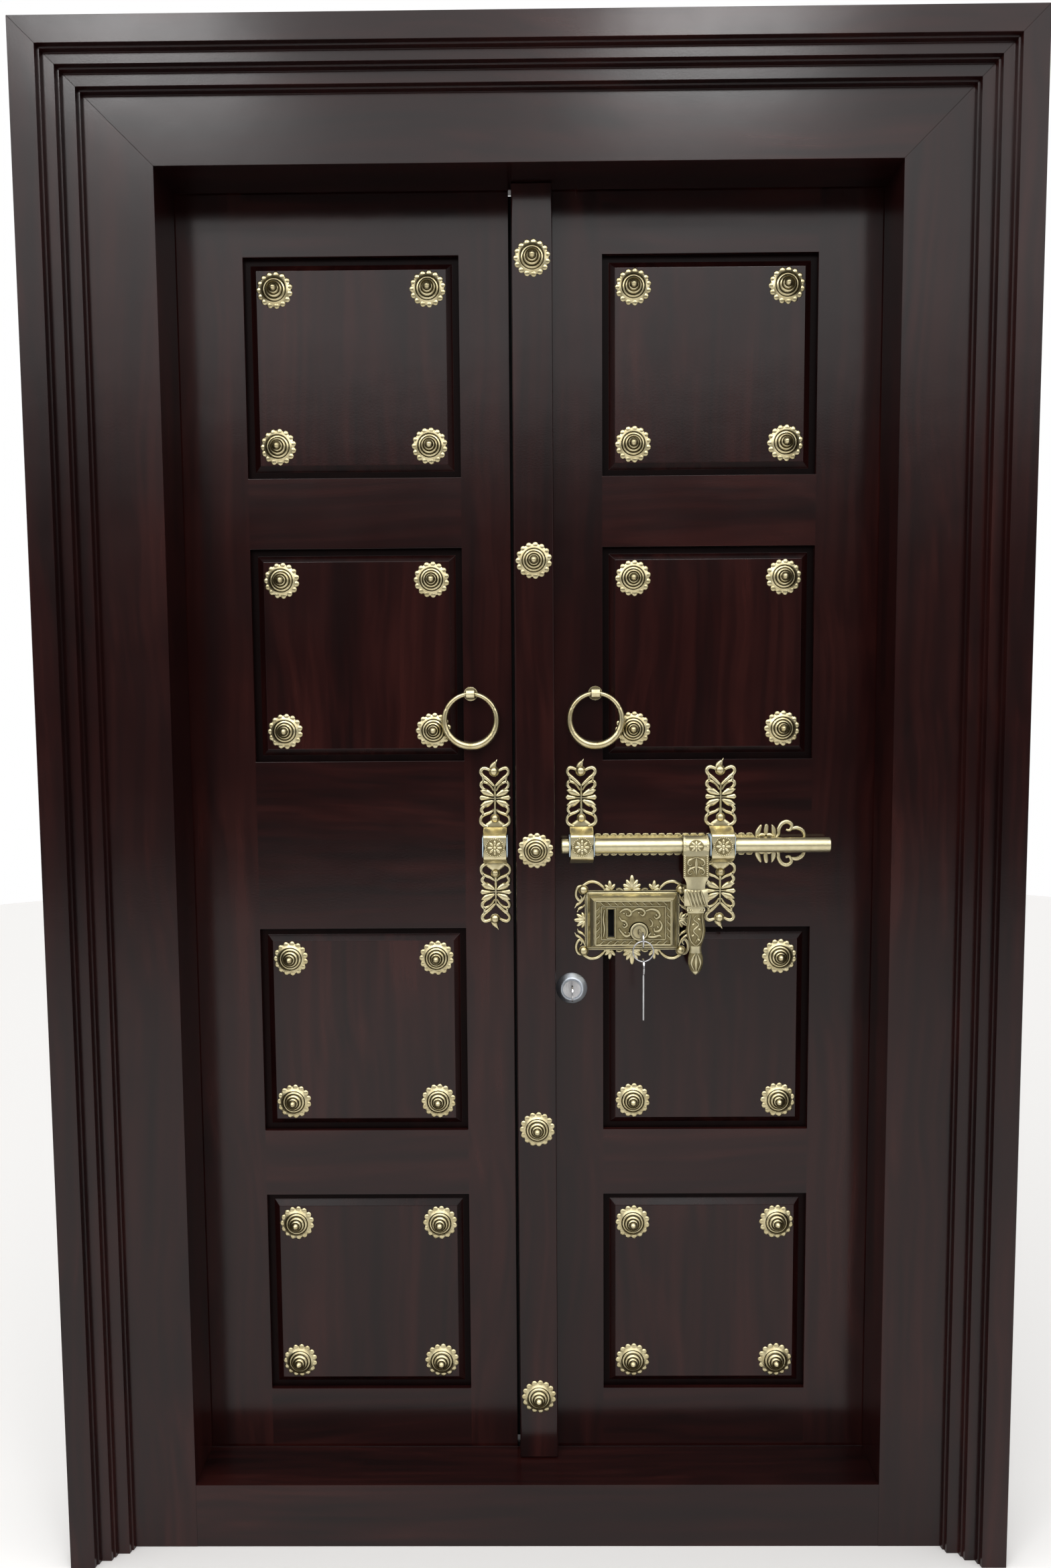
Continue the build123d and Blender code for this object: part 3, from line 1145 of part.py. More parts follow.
ring_bottom_z = ring_top_z - 2 * KEY_RING_RADIUS
spare_hole_z = ring_bottom_z - KEY_HOLE_RADIUS + KEY_RING_WIRE / 2 + KEY_RING_SLACK
spare_plane = Plane(
    origin=(LOCK_KEY_X - KEY_THICKNESS / 2, bow_hole_y, spare_hole_z - KEY_LENGTH + KEY_HOLE_INSET),
    x_dir=(0, 0, 1),
    z_dir=(1, 0, 0),
)
with BuildPart() as spare_key:
    with BuildSketch(spare_plane):
        add(key_outline(KEY_BOW_RADIUS, KEY_LENGTH, KEY_HOLE_INSET))
    extrude(amount=KEY_THICKNESS)
keep(spare_key.part, "spare_key")
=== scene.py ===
import json
import math

import bmesh
import bpy
from mathutils import Matrix, Vector


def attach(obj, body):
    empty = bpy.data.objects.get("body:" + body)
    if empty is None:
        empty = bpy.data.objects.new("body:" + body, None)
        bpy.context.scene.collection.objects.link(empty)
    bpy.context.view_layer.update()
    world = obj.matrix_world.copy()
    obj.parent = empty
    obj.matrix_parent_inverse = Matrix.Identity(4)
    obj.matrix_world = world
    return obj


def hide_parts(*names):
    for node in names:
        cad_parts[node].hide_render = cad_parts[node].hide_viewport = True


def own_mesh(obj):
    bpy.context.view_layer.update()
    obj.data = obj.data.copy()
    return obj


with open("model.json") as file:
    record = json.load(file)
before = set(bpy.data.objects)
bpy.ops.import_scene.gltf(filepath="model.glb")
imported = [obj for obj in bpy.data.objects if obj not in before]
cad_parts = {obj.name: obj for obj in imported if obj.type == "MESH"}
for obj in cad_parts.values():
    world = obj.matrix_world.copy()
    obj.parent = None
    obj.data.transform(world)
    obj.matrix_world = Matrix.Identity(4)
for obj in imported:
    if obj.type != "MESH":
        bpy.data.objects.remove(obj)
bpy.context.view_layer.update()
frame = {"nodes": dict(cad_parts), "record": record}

# %% [markdown]
# # Two panelled steel leaves in a stepped frame
# The frame that was just loaded holds every solid of the door in metres: X along the doorway,
# Y into the room, Z up, with the outer faces of the closed leaves on Y = 0. This lesson dresses
# those solids.

# %% [markdown]
# ## The camera
# The photograph looks square on at the door from 1.7 m away and 1.27 m up, tilted down a little
# under five degrees. The lens follows from the picture: 1568 by 2340 pixels with a focal length
# of 1729 pixels. The tilts are small, so they are written as three turns and the camera's axes
# are read from the rows of their product.

# %% Camera
PICTURE_HEIGHT = 2340
FOCAL_PIXELS = 1728.66
SENSOR = 36.0
CAMERA_PLACE = Vector((0.0047, -1.7060, 1.2677))
TILT = 0.0834
YAW = -0.0085
ROLL = -0.0070

turns = Matrix.Rotation(ROLL, 3, "Y") @ Matrix.Rotation(TILT, 3, "X") @ Matrix.Rotation(YAW, 3, "Z")
across, ahead, upward = turns[0], turns[1], turns[2]
lens = bpy.data.cameras.new("viewpoint")
lens.sensor_fit = "VERTICAL"
lens.sensor_height = SENSOR
lens.lens = SENSOR * FOCAL_PIXELS / PICTURE_HEIGHT
lens.clip_end = 60
camera = bpy.data.objects.new("viewpoint", lens)
bpy.context.collection.objects.link(camera)
pose = Matrix((across, upward, -ahead)).transposed().to_4x4()
pose.translation = CAMERA_PLACE
camera.matrix_world = pose
bpy.context.scene.camera = camera
print("lens", round(lens.lens, 2), "mm")

# %% [markdown]
# ## The room
# A door is mostly seen by what it reflects. The world is a plain pale room: white behind the
# door, and in front a soft grey that is brighter overhead and at the sides than straight
# ahead, which is what gives the gloss its broad bands. Two soft ceiling panels put the pale
# glints on the head of the frame, and one large lamp from the front shows the colours.

# %% World, floor and lamps
bpy.context.scene.view_settings.view_transform = "Standard"


class Signal:
    """One output of a shader tree, so that sums on it read as sums."""

    def __init__(self, tree, socket):
        self.tree = tree
        self.socket = socket

    def sum(self, operation, *values):
        """A Math node with this operation on signals or plain numbers."""
        node = self.tree.nodes.new("ShaderNodeMath")
        node.operation = operation
        for socket, value in zip(node.inputs, values):
            if isinstance(value, Signal):
                self.tree.links.new(value.socket, socket)
            else:
                socket.default_value = value
        return Signal(self.tree, node.outputs[0])

    def __add__(self, other):
        return self.sum("ADD", self, other)

    def __rsub__(self, other):
        return self.sum("SUBTRACT", other, self)

    def __mul__(self, other):
        return self.sum("MULTIPLY", self, other)

    __radd__ = __add__
    __rmul__ = __mul__

    def size(self):
        return self.sum("ABSOLUTE", self)

    def larger(self, other):
        return self.sum("MAXIMUM", self, other)

    def fade(self, start, end):
        """0 up to start, 1 from end on, and a smooth rise between them."""
        node = self.tree.nodes.new("ShaderNodeMapRange")
        node.interpolation_type = "SMOOTHSTEP"
        self.tree.links.new(self.socket, node.inputs["Value"])
        node.inputs["From Min"].default_value = start
        node.inputs["From Max"].default_value = end
        return Signal(self.tree, node.outputs["Result"])


class Tree:
    """A node tree being wired: any node by its type, its settings and its sockets' values."""

    def __init__(self, tree):
        self.tree = tree

    def node(self, kind, settings=(), output=0, **values):
        node = self.tree.nodes.new("ShaderNode" + kind)
        for name, value in dict(settings).items():
            if name == "stops":
                ramp = node.color_ramp.elements
                while len(ramp) < len(value):
                    ramp.new(0.5)
                for element, (place, tone) in zip(ramp, value):
                    element.position = place
                    element.color = (*tone, 1)
            else:
                setattr(node, name, value)
        for name, value in values.items():
            sockets = [s for s in node.inputs if s.name.replace(" ", "_") == name and s.enabled]
            if isinstance(value, Signal):
                self.tree.links.new(value.socket, sockets[0])
            elif isinstance(value, tuple) and len(value) == 3 and sockets[0].type == "RGBA":
                sockets[0].default_value = (*value, 1)
            else:
                sockets[0].default_value = value
        return Signal(self.tree, node.outputs[output])

    def noise(self, place, scale, detail, rough=0.5):
        """A noise from 0 to 1 over a vector."""
        return self.node("TexNoise", Vector=place, Scale=scale, Detail=detail, Roughness=rough)

    def bump(self, strength, distance, height):
        """A normal bent by a height, with its distance in metres."""
        return self.node("Bump", Strength=strength, Distance=distance, Height=height)

    def blend(self, factor, first, second):
        """A colour between two colours, each a link or three numbers."""
        node = self.tree.nodes.new("ShaderNodeMix")
        node.data_type = "RGBA"
        for socket, value in ((node.inputs[0], factor), (node.inputs[6], first), (node.inputs[7], second)):
            if isinstance(value, Signal):
                self.tree.links.new(value.socket, socket)
            elif isinstance(value, tuple):
                socket.default_value = (*value, 1)
            else:
                socket.default_value = value
        return Signal(self.tree, node.outputs[2])

    def parts(self, vector):
        """The X, Y and Z of a vector as three signals."""
        node = self.tree.nodes.new("ShaderNodeSeparateXYZ")
        self.tree.links.new(vector.socket, node.inputs[0])
        return [Signal(self.tree, socket) for socket in node.outputs]


ROOM_BEHIND = 1.0
ROOM_AHEAD = 0.07
ROOM_OVERHEAD = 2.1
ROOM_SIDES = 0.55
world = bpy.data.worlds.new("pale_room")
world.use_nodes = True
bpy.context.scene.world = world
room = Tree(world.node_tree)
way_x, way_y, way_z = room.parts(room.node("TexCoord", output=0))
behind = way_y.fade(-0.15, 0.15)
overhead = way_z.fade(0.17, 0.27)
sides = way_x.size().fade(0.38, 0.85)
ahead_level = ROOM_AHEAD + overhead * (ROOM_OVERHEAD - ROOM_AHEAD)
ahead_level = ahead_level.larger(ROOM_AHEAD + sides * (ROOM_SIDES - ROOM_AHEAD))
level = ahead_level * (1 - behind) + behind * ROOM_BEHIND
backdrop = world.node_tree.nodes["Background"]
backdrop.inputs["Color"].default_value = (1, 1, 1, 1)
world.node_tree.links.new(level.socket, backdrop.inputs["Strength"])


def lamp(name, place, aim, width, height, power):
    """A soft rectangular lamp at place, facing aim."""
    data = bpy.data.lights.new(name, "AREA")
    data.shape = "RECTANGLE"
    data.size = width
    data.size_y = height
    data.energy = power
    panel = bpy.data.objects.new(name, data)
    panel.rotation_mode = "QUATERNION"
    panel.rotation_quaternion = (Vector(aim) - Vector(place)).to_track_quat("-Z", "Y")
    panel.location = place
    bpy.context.collection.objects.link(panel)
    return panel


CEILING_PANEL = (0.55, 0.45, 14)
SOFTBOX = (2.0, 1.4, 45)
lamp("ceiling_panel_left", (-1.05, -1.75, 3.0), (-1.05, -1.7, 0), *CEILING_PANEL)
lamp("ceiling_panel_right", (0.50, -1.75, 3.0), (0.5, -1.7, 0), *CEILING_PANEL)
softbox = lamp("front_softbox", (-1.6, -3.2, 2.6), (0, 0, 1.1), *SOFTBOX)
softbox.visible_glossy = False

FLOOR_REACH = 6.0
FLOOR_COLOUR = (0.60, 0.59, 0.58, 1)
floor_mesh = bpy.data.meshes.new("floor")
form = bmesh.new()
bmesh.ops.create_circle(form, cap_ends=True, segments=64, radius=FLOOR_REACH)
form.to_mesh(floor_mesh)
form.free()
floor = bpy.data.objects.new("floor", floor_mesh)
bpy.context.collection.objects.link(floor)
floor_paint = bpy.data.materials.new("pale_floor")
floor_paint.use_nodes = True
floor_shader = floor_paint.node_tree.nodes["Principled BSDF"]
floor_shader.inputs["Base Color"].default_value = FLOOR_COLOUR
floor_shader.inputs["Roughness"].default_value = 0.6
floor_mesh.materials.append(floor_paint)
print("room, floor and lamps are up")

# %% [markdown]
# ## Finishes
# The steel is coated to look like polished rosewood: a dark maroon brown with grain, under a
# gloss that is never quite flat. The grain runs upright on stiles, jambs and panels, and
# along the rails, so each finish takes the direction as an argument. Grain is a noise that is
# stretched along one axis, and the figure of the timber is a second, slower noise that bends
# the first. The orange peel of the gloss is a very shallow bump.

# %% Painted woodgrain
GRAIN_DARK = (0.0050, 0.0013, 0.0013)
GRAIN_MIDDLE = (0.0105, 0.0022, 0.0020)
GRAIN_LIGHT = (0.0200, 0.0044, 0.0036)
# The last tone is a near black, painted shade for the panels' grooves and slopes.
PAINTED_SHADE_DARK = (0.0012, 0.0004, 0.0004)
METRE_STREAKS = 34.0
ALONG_GRAIN = 0.055
ALONG_FIGURE = 0.35


def surface(name, **values):
    """A material, the tree that wires it, its shader, and the object's own places."""
    material = bpy.data.materials.new(name)
    material.use_nodes = True
    shader = material.node_tree.nodes["Principled BSDF"]
    for socket, value in values.items():
        shader.inputs[socket.replace("_", " ")].default_value = value
    tree = Tree(material.node_tree)
    return material, tree, shader, tree.node("TexCoord", output=3)


def feed(tree, shader, **signals):
    """Links signals to the shader's sockets of those names."""
    for name, signal in signals.items():
        tree.tree.links.new(signal.socket, shader.inputs[name.replace("_", " ")])


def streaks(tree, place, along, seed):
    """Grain: a stretched noise bent by a slow one, from 0 to 1, running along X or Z."""
    squeeze = {"x": (ALONG_GRAIN, 1.0, 1.0), "z": (1.0, 1.0, ALONG_GRAIN)}[along]
    slow_squeeze = {"x": (ALONG_FIGURE, 1.0, 1.0), "z": (1.0, 1.0, ALONG_FIGURE)}[along]
    drift = tree.node("Mapping", Vector=place, Location=(seed, 0, seed), Scale=slow_squeeze)
    slow = tree.noise(drift, 5.0, 2.0, 0.45)
    stretched = tree.node("Mapping", Vector=place, Location=(seed, seed, 0), Scale=squeeze)
    bent = tree.node("VectorMath", {"operation": "MULTIPLY_ADD"}, Vector=stretched)
    sockets = bent.socket.node.inputs
    sockets[1].default_value = (1, 1, 1)
    lift = tree.node("CombineXYZ", X=slow * 0.10, Y=slow * 0.04, Z=slow * 0.10)
    tree.tree.links.new(lift.socket, sockets[2])
    fine = tree.noise(bent, METRE_STREAKS * 2.2, 5.0, 0.62)
    broad = tree.noise(bent, METRE_STREAKS * 0.55, 2.0)
    return fine * 0.45 + broad * 0.55


def woodgrain(name, along, seed, gloss=0.17, specular=0.30, shade=0.0):
    """Gloss coating with printed grain along one axis; shade mixes in a near black painted shade."""
    material, tree, shader, place = surface(name, IOR=1.5, Specular_IOR_Level=specular)
    grain = streaks(tree, place, along, seed)
    tone = tree.node(
        "ValToRGB", {"stops": [(0.36, GRAIN_DARK), (0.50, GRAIN_MIDDLE), (0.66, GRAIN_LIGHT)]}, Fac=grain,
    )
    cloud = tree.noise(place, 3.1, 3.0)
    tone = tree.blend(cloud.fade(0.42, 0.70) * 0.55, tone, GRAIN_DARK)
    # Painted shade: the tone is pulled towards near black by the share given in shade.
    tone = tree.blend(shade, tone, PAINTED_SHADE_DARK)
    smear = tree.noise(place, 7.0, 4.0, 0.6)
    peel = tree.noise(place, 420.0, 1.0)
    wave = tree.noise(place, 9.0, 2.0)
    skin = tree.bump(0.045, 0.001, peel * 0.6 + wave * 9.0)
    feed(tree, shader, Base_Color=tone, Roughness=gloss + smear * 0.10, Normal=skin)
    return material


jamb_finish = woodgrain("rosewood_gloss_upright_frame", "z", 1.3)
head_finish = woodgrain("rosewood_gloss_level_frame", "x", 4.1)
stile_finish = woodgrain("rosewood_gloss_upright_leaf", "z", 7.7, gloss=0.13)
rail_finish = woodgrain("rosewood_gloss_level_leaf", "x", 2.9, gloss=0.13)
panel_finish = woodgrain("rosewood_gloss_upright_panel", "z", 9.4, gloss=0.12)
# Grooves and slopes carry painted shade over their grain.
groove_finish = woodgrain("rosewood_in_the_grooves", "z", 5.2, gloss=0.34, specular=0.05, shade=0.85)
slope_finish = woodgrain("rosewood_on_the_slopes", "z", 6.6, gloss=0.22, specular=0.12, shade=0.4)
print("painted finishes made")

# %% [markdown]
# The brass is a pale satin casting, with shade painted dark brown into its hollows. Hollows are
# told apart by ambient occlusion when the picture is made, and the sparkle of the casting is a
# fine bump. The silver parts are a plain nickel.

# %% Brass, steel, nylon and rubber
BRASS_PALE = (0.72, 0.65, 0.42)
BRASS_WARM = (0.55, 0.47, 0.26)
BRASS_PAINTED_SHADE = (0.10, 0.08, 0.035)


def cast_brass(name, roughness, tooling, bump, pale=BRASS_PALE, warm=BRASS_WARM):
    """Satin brass with painted shade darkening its hollows, and a fine tooled surface."""
    material, tree, shader, place = surface(name, Metallic=1.0)
    open_faces = tree.node("AmbientOcclusion", {"samples": 8}, output=1, Distance=0.005)
    mottle = tree.noise(place, 95.0, 4.0, 0.6)
    tone = tree.blend(mottle.fade(0.30, 0.75), pale, warm)
    # Painted shade: where ambient occlusion finds hollows, the tone goes dark brown.
    tone = tree.blend(open_faces.fade(0.45, 0.95), BRASS_PAINTED_SHADE, tone)
    grit = tree.noise(place, tooling, 3.0, 0.55)
    skin = tree.bump(bump, 0.0004, grit)
    feed(tree, shader, Base_Color=tone, Roughness=roughness + mottle * 0.16, Normal=skin)
    return material


brass = cast_brass("cast_brass", 0.22, 900.0, 0.35)
turned_brass = cast_brass("turned_brass", 0.22, 300.0, 0.08, (0.62, 0.55, 0.34), (0.44, 0.37, 0.20))
drawn_brass = cast_brass("drawn_brass", 0.27, 160.0, 0.04, (0.66, 0.60, 0.39), (0.56, 0.50, 0.31))
ground_brass = cast_brass("stippled_ground_brass", 0.42, 1500.0, 0.9, (0.27, 0.23, 0.12), (0.15, 0.12, 0.06))


def plain_metal(name, colour, roughness, scratch=0.06):
    """Turned or rolled metal with faint scratches."""
    material, tree, shader, place = surface(name, Metallic=1.0)
    stretched = tree.node("Mapping", Vector=place, Scale=(1.0, 1.0, 0.06))
    lines = tree.noise(stretched, 600.0, 3.0)
    cloud = tree.noise(place, 40.0, 3.0)
    dark = tuple(channel * 0.72 for channel in colour)
    tone = tree.blend(cloud.fade(0.35, 0.75), colour, dark)
    skin = tree.bump(scratch, 0.0003, lines)
    feed(tree, shader, Base_Color=tone, Roughness=roughness + lines * 0.12, Normal=skin)
    return material


nickel = plain_metal("nickel", (0.52, 0.52, 0.53), 0.20)
rose_nickel = plain_metal("satin_nickel", (0.54, 0.58, 0.63), 0.36)
zinc = plain_metal("zinc_plate", (0.50, 0.51, 0.52), 0.34, 0.15)


def moulded(name, colour, roughness, grain_scale):
    """Plain moulded stuff: nylon, rubber or board, and the near black painted shade of the key slot."""
    material, tree, shader, place = surface(name)
    speck = tree.noise(place, grain_scale, 4.0, 0.6)
    dark = tuple(channel * 0.7 for channel in colour)
    skin = tree.bump(0.2, 0.0003, speck)
    tone = tree.blend(speck, dark, colour)
    feed(tree, shader, Base_Color=tone, Roughness=roughness + speck * 0.1, Normal=skin)
    return material


nylon = moulded("pale_nylon", (0.42, 0.52, 0.60), 0.42, 160.0)
rubber = moulded("seal_rubber", (0.012, 0.012, 0.013), 0.60, 220.0)
board = moulded("honeycomb_board", (0.46, 0.36, 0.24), 0.85, 60.0)
# Near black painted into the key slot's pocket as painted shade.
keyhole_shade_black = moulded("dark_hollow", (0.003, 0.003, 0.003), 0.90, 60.0)
print("metals and mouldings made")

# %% [markdown]
# ## Folded steel
# Sheet that has been folded on a press has a small round at every fold, and that round is
# what catches the light as a thin bright line. A solid from CAD has sharp folds, and its mesh
# is loose triangles, so each folded piece is copied, its doubles merged, its coplanar
# triangles dissolved and its edges given a small bevel. The copy stands for the solid.

# %% A helper that copies a solid with softened folds
SHARP = math.radians(12)
COPLANAR = math.radians(0.6)
WELD = 0.00002


def new_piece(name, mesh, body, slot, *nodes):
    """An object for a mesh that already lies in its place, riding on its body."""
    piece = bpy.data.objects.new(name, mesh)
    bpy.context.collection.objects.link(piece)
    even = piece.modifiers.new("even_faces", "WEIGHTED_NORMAL")
    even.keep_sharp = True
    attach(piece, body)
    if nodes:
        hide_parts(*nodes)
    return piece


def merged(node):
    """A bmesh copy of a solid with its doubles merged and its flat faces made whole."""
    copy = bmesh.new()
    copy.from_mesh(frame["nodes"][node].data)
    bmesh.ops.remove_doubles(copy, verts=copy.verts, dist=WELD)
    bmesh.ops.dissolve_limit(copy, angle_limit=COPLANAR, verts=copy.verts, edges=copy.edges)
    return copy


def soften(copy, width):
    """Rounds every sharp edge of a form."""
    edges = [e for e in copy.edges if len(e.link_faces) == 2 and e.calc_face_angle(0) > SHARP]
    bmesh.ops.bevel(
        copy, geom=edges, offset=width, offset_type="OFFSET", affect="EDGES", segments=2,
        profile=0.5, material=-1, clamp_overlap=True,
    )


def finish_mesh(copy, name, materials, pick=None, smooth=math.radians(32)):
    """Turns a bmesh into a mesh with its finishes; pick gives each face's finish."""
    mesh = bpy.data.meshes.new(name)
    if pick:
        for face in copy.faces:
            face.material_index = pick(face.calc_center_median(), face.normal)
    for face in copy.faces:
        face.smooth = True
    for edge in copy.edges:
        edge.smooth = len(edge.link_faces) == 2 and edge.calc_face_angle(0) < smooth
    copy.to_mesh(mesh)
    copy.free()
    for material in materials:
        mesh.materials.append(material)
    return mesh


BODIES = frame["record"]["behaviour"]["bodies"]
body_of_node = {node: body for body, nodes in BODIES.items() for node in nodes}
slot_of_node = {row["node"]: row["material_slot"] for row in frame["record"]["subparts"]}


def folded(node, width, materials, pick=None):
    """A softened copy of a CAD node, standing for it."""
    copy = merged(node)
    soften(copy, width)
    mesh = finish_mesh(copy, node + "_dressed", materials, pick)
    print(node, len(mesh.polygons), "faces")
    return new_piece(node + "_dressed", mesh, body_of_node[node], slot_of_node[node], node)


# %% [markdown]
# The frame's flats are folded with a generous round, and the sill likewise. The leaves' outer
# sheets carry two directions of grain: level on the rails, upright on the stiles. Which one a
# face takes is told by where it lies, so the big flat sheet is first cut along the
# joints of a real joiner's door: the stiles run through and the rails stop against them.

# %% Frame members
FRAME_FOLD = 0.0011
folded("left_jamb", FRAME_FOLD, [jamb_finish])
folded("right_jamb", FRAME_FOLD, [jamb_finish])
folded("head", FRAME_FOLD, [head_finish])
folded("sill", FRAME_FOLD, [head_finish])

# %% Leaf sheets, cut where rails meet stiles
LEAF_FOLD = 0.0009
PANEL_HALF = 0.154
PANEL_AXIS = 0.002
PANEL_OFFSET = 0.2563
CUT_GAP = 0.0002


def leaf_sheet(node, panel_x):
    """A leaf's outer sheet with upright grain on the stiles and level grain on the rails."""
    copy = merged(node)
    soften(copy, LEAF_FOLD)
    for side in (-1, 1):
        geometry = copy.verts[:] + copy.edges[:] + copy.faces[:]
        bmesh.ops.bisect_plane(
            copy, geom=geometry, dist=WELD, plane_co=(panel_x + side * (PANEL_HALF + CUT_GAP), 0, 0),
            plane_no=(1, 0, 0), clear_inner=False, clear_outer=False,
        )

    def pick(middle, _normal):
        return 1 if abs(middle.x - panel_x) < PANEL_HALF else 0

    mesh = finish_mesh(copy, node + "_dressed", [stile_finish, rail_finish], pick)
    new_piece(node + "_dressed", mesh, body_of_node[node], slot_of_node[node], node)


leaf_sheet("left_front_skin", PANEL_AXIS - PANEL_OFFSET)
leaf_sheet("right_front_skin", PANEL_AXIS + PANEL_OFFSET)


LEANING = 0.97
GROOVE_LEVEL = 0.007
TRAY_FOLD = 0.0006
SHEET_FOLD = 0.0008
STILE_FOLD = 0.0004


def tray_finish(middle, normal):
    """Field, groove floor or slope, told by depth and lean."""
    if abs(normal.y) < LEANING:
        return 2
    return 1 if middle.y > GROOVE_LEVEL else 0


# Groove floors and slopes take the finishes with painted shade.
for node in ("left_panel_trays", "right_panel_trays"):
    folded(node, TRAY_FOLD, [panel_finish, groove_finish, slope_finish], tray_finish)
for node in ("left_back_skin", "right_back_skin", "astragal"):
    folded(node, SHEET_FOLD, [stile_finish])
for node in ("left_hinge_stile", "left_meeting_stile", "right_hinge_stile", "right_meeting_stile"):
    folded(node, STILE_FOLD, [stile_finish])
print("steel dressed")

# %% [markdown]
# Hidden solids are right as they are and only change finish. Small hardware is treated like the
# folded steel, with a finer round, because a key or a hinge leaf has no true sharp edge.

# %% Solids that keep their shape, and small hardware
HARDWARE_ROUND = 0.0006
ROSE_ROUND = 0.0007
BUSH_ROUND = 0.0005
KEY_ROUND = 0.0003
KEPT = {
    "left_rails": zinc, "right_rails": zinc, "left_core": board, "right_core": board,
    "frame_seals": rubber, "mortise_case": zinc, "deadbolt": zinc, "lock_plug": turned_brass,
    "cylinder_plug": nickel,
}
for node, material in KEPT.items():
    for slot in frame["nodes"][node].material_slots:
        slot.material = material
for side in ("left", "right"):
    folded(side + "_frame_hinges", HARDWARE_ROUND, [zinc])
    folded(side + "_leaf_hinges", HARDWARE_ROUND, [zinc])
    folded(side + "_ring_rose", ROSE_ROUND, [brass])
for node in ("top_flush_bolt", "bottom_flush_bolt"):
    folded(node, HARDWARE_ROUND, [zinc])
for node in ("keeper_bush", "clamp_bushes"):
    folded(node, BUSH_ROUND, [nylon])
for node in ("lock_key", "spare_key", "cylinder_key"):
    folded(node, KEY_ROUND, [nickel])

# %% [markdown]
# ## The brush in the meeting gap
# The two leaves meet with four millimetres between them, and daylight would show through. A
# dark brush on the edge of the left leaf closes that gap. Its hairs give way when the right
# leaf swings.

# %% Meeting brush
BRUSH_X = (-0.0319, -0.0250)
BRUSH_Y = (0.0360, 0.0430)
BRUSH_Z = (0.0885, 1.9760)


def bar(form, x, y, z):
    """A square-cut bar between two values on each axis."""
    size = [high - low for low, high in (x, y, z)]
    middle = [(high + low) / 2 for low, high in (x, y, z)]
    matrix = Matrix.Translation(middle) @ Matrix.Diagonal((*size, 1))
    bmesh.ops.create_cube(form, size=1.0, matrix=matrix)


form = bmesh.new()
bar(form, BRUSH_X, BRUSH_Y, BRUSH_Z)
brush_mesh = finish_mesh(form, "meeting_brush", [rubber])
brush = new_piece("meeting_brush", brush_mesh, "left_leaf", "seal_rubber")
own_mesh(brush)

# %% [markdown]
# ## Petal studs
# A stud is a thin pressed disc with fifteen petals under a turned dome. The dome is spun from
# its half profile, whose steps are the turned rings. One petal is a small pillow cut flat at
# the back, repeated round the disc, so that its end makes one scallop of the rim. A few faces
# for each petal keep thirty-six studs light.

# %% Stud
STUD_PROFILE = (
    (0.0, 0.0), (23.0, 0.0), (23.2, 0.8), (20.6, 1.8), (18.4, 3.0), (17.4, 3.8), (16.8, 2.8), (16.2, 4.6),
    (15.0, 5.7), (13.6, 6.0), (12.9, 5.0), (12.2, 7.4), (11.4, 8.7), (9.8, 9.5), (8.9, 8.5), (8.2, 10.4),
    (7.6, 11.7), (6.4, 12.5), (5.6, 11.6), (5.3, 13.6), (4.7, 15.2), (3.3, 16.8), (1.6, 17.9), (0.0, 18.2),
)
STUD_STEPS = 30
PETALS = 15
PETAL_MIDDLE = 21.3
PETAL_LENGTH = 5.2
PETAL_HEIGHT = 2.3
PETAL_HALF_WIDTH = 4.7


def at(*place):
    """A move to a place in millimetres."""
    return Matrix.Translation(Vector(place) / 1000)


def spun(form, profile, steps, middle=(0, 0, 0), turn=Matrix()):
    """A turned shape about the Y axis, from pairs of radius and height in millimetres."""
    before = set(form.verts)
    verts = [form.verts.new((radius / 1000, -height / 1000, 0)) for radius, height in profile]
    edges = [form.edges.new(pair) for pair in zip(verts, verts[1:])]
    bmesh.ops.spin(
        form, geom=verts + edges, cent=(0, 0, 0), axis=(0, 1, 0), angle=2 * math.pi, steps=steps,
        use_merge=True, use_duplicate=False,
    )
    made = [vert for vert in form.verts if vert not in before]
    bmesh.ops.transform(form, matrix=at(*middle) @ turn, verts=made)
    bmesh.ops.remove_doubles(form, verts=made, dist=0.00001)


def swell(form, middle, halves, turn, subdivisions=2):
    """A pillow shape: an ellipsoid with half sizes in millimetres, cut flat at the back."""
    verts = bmesh.ops.create_icosphere(form, subdivisions=subdivisions, radius=1.0)["verts"]
    for vert in verts:
        vert.co.y = min(vert.co.y, 0.0)
        vert.co = Vector([c * half / 1000 for c, half in zip(vert.co, halves)])
        vert.co += Vector(middle) / 1000
    bmesh.ops.transform(form, matrix=turn, verts=verts)


def stud_form():
    """One stud at the origin, as a bmesh."""
    form = bmesh.new()
    spun(form, STUD_PROFILE, STUD_STEPS)
    for i in range(PETALS):
        turn = Matrix.Rotation(2 * math.pi * (i + 0.5) / PETALS, 4, "Y")
        swell(form, (PETAL_MIDDLE, 0, 0), (PETAL_LENGTH, PETAL_HEIGHT, PETAL_HALF_WIDTH), turn)
    bmesh.ops.recalc_face_normals(form, faces=form.faces)
    return form


def repeat(form, spots):
    """One mesh with the form at each spot, given as (x, y, z) in metres."""
    one = bpy.data.meshes.new("one")
    form.to_mesh(one)
    form.free()
    many = bmesh.new()
    for spot in spots:
        first = len(many.verts)
        many.from_mesh(one)
        many.verts.ensure_lookup_table()
        bmesh.ops.translate(many, vec=spot, verts=many.verts[first:])
    bpy.data.meshes.remove(one)
    return many


STUD_PITCH = (0.2190, 0.2200)
PANEL_LEVELS = (0.3435, 0.7545, 1.3150, 1.7260)
FIELD_Y = 0.001
ASTRAGAL_FRONT = -0.031
ASTRAGAL_MIDDLE = 0.0045


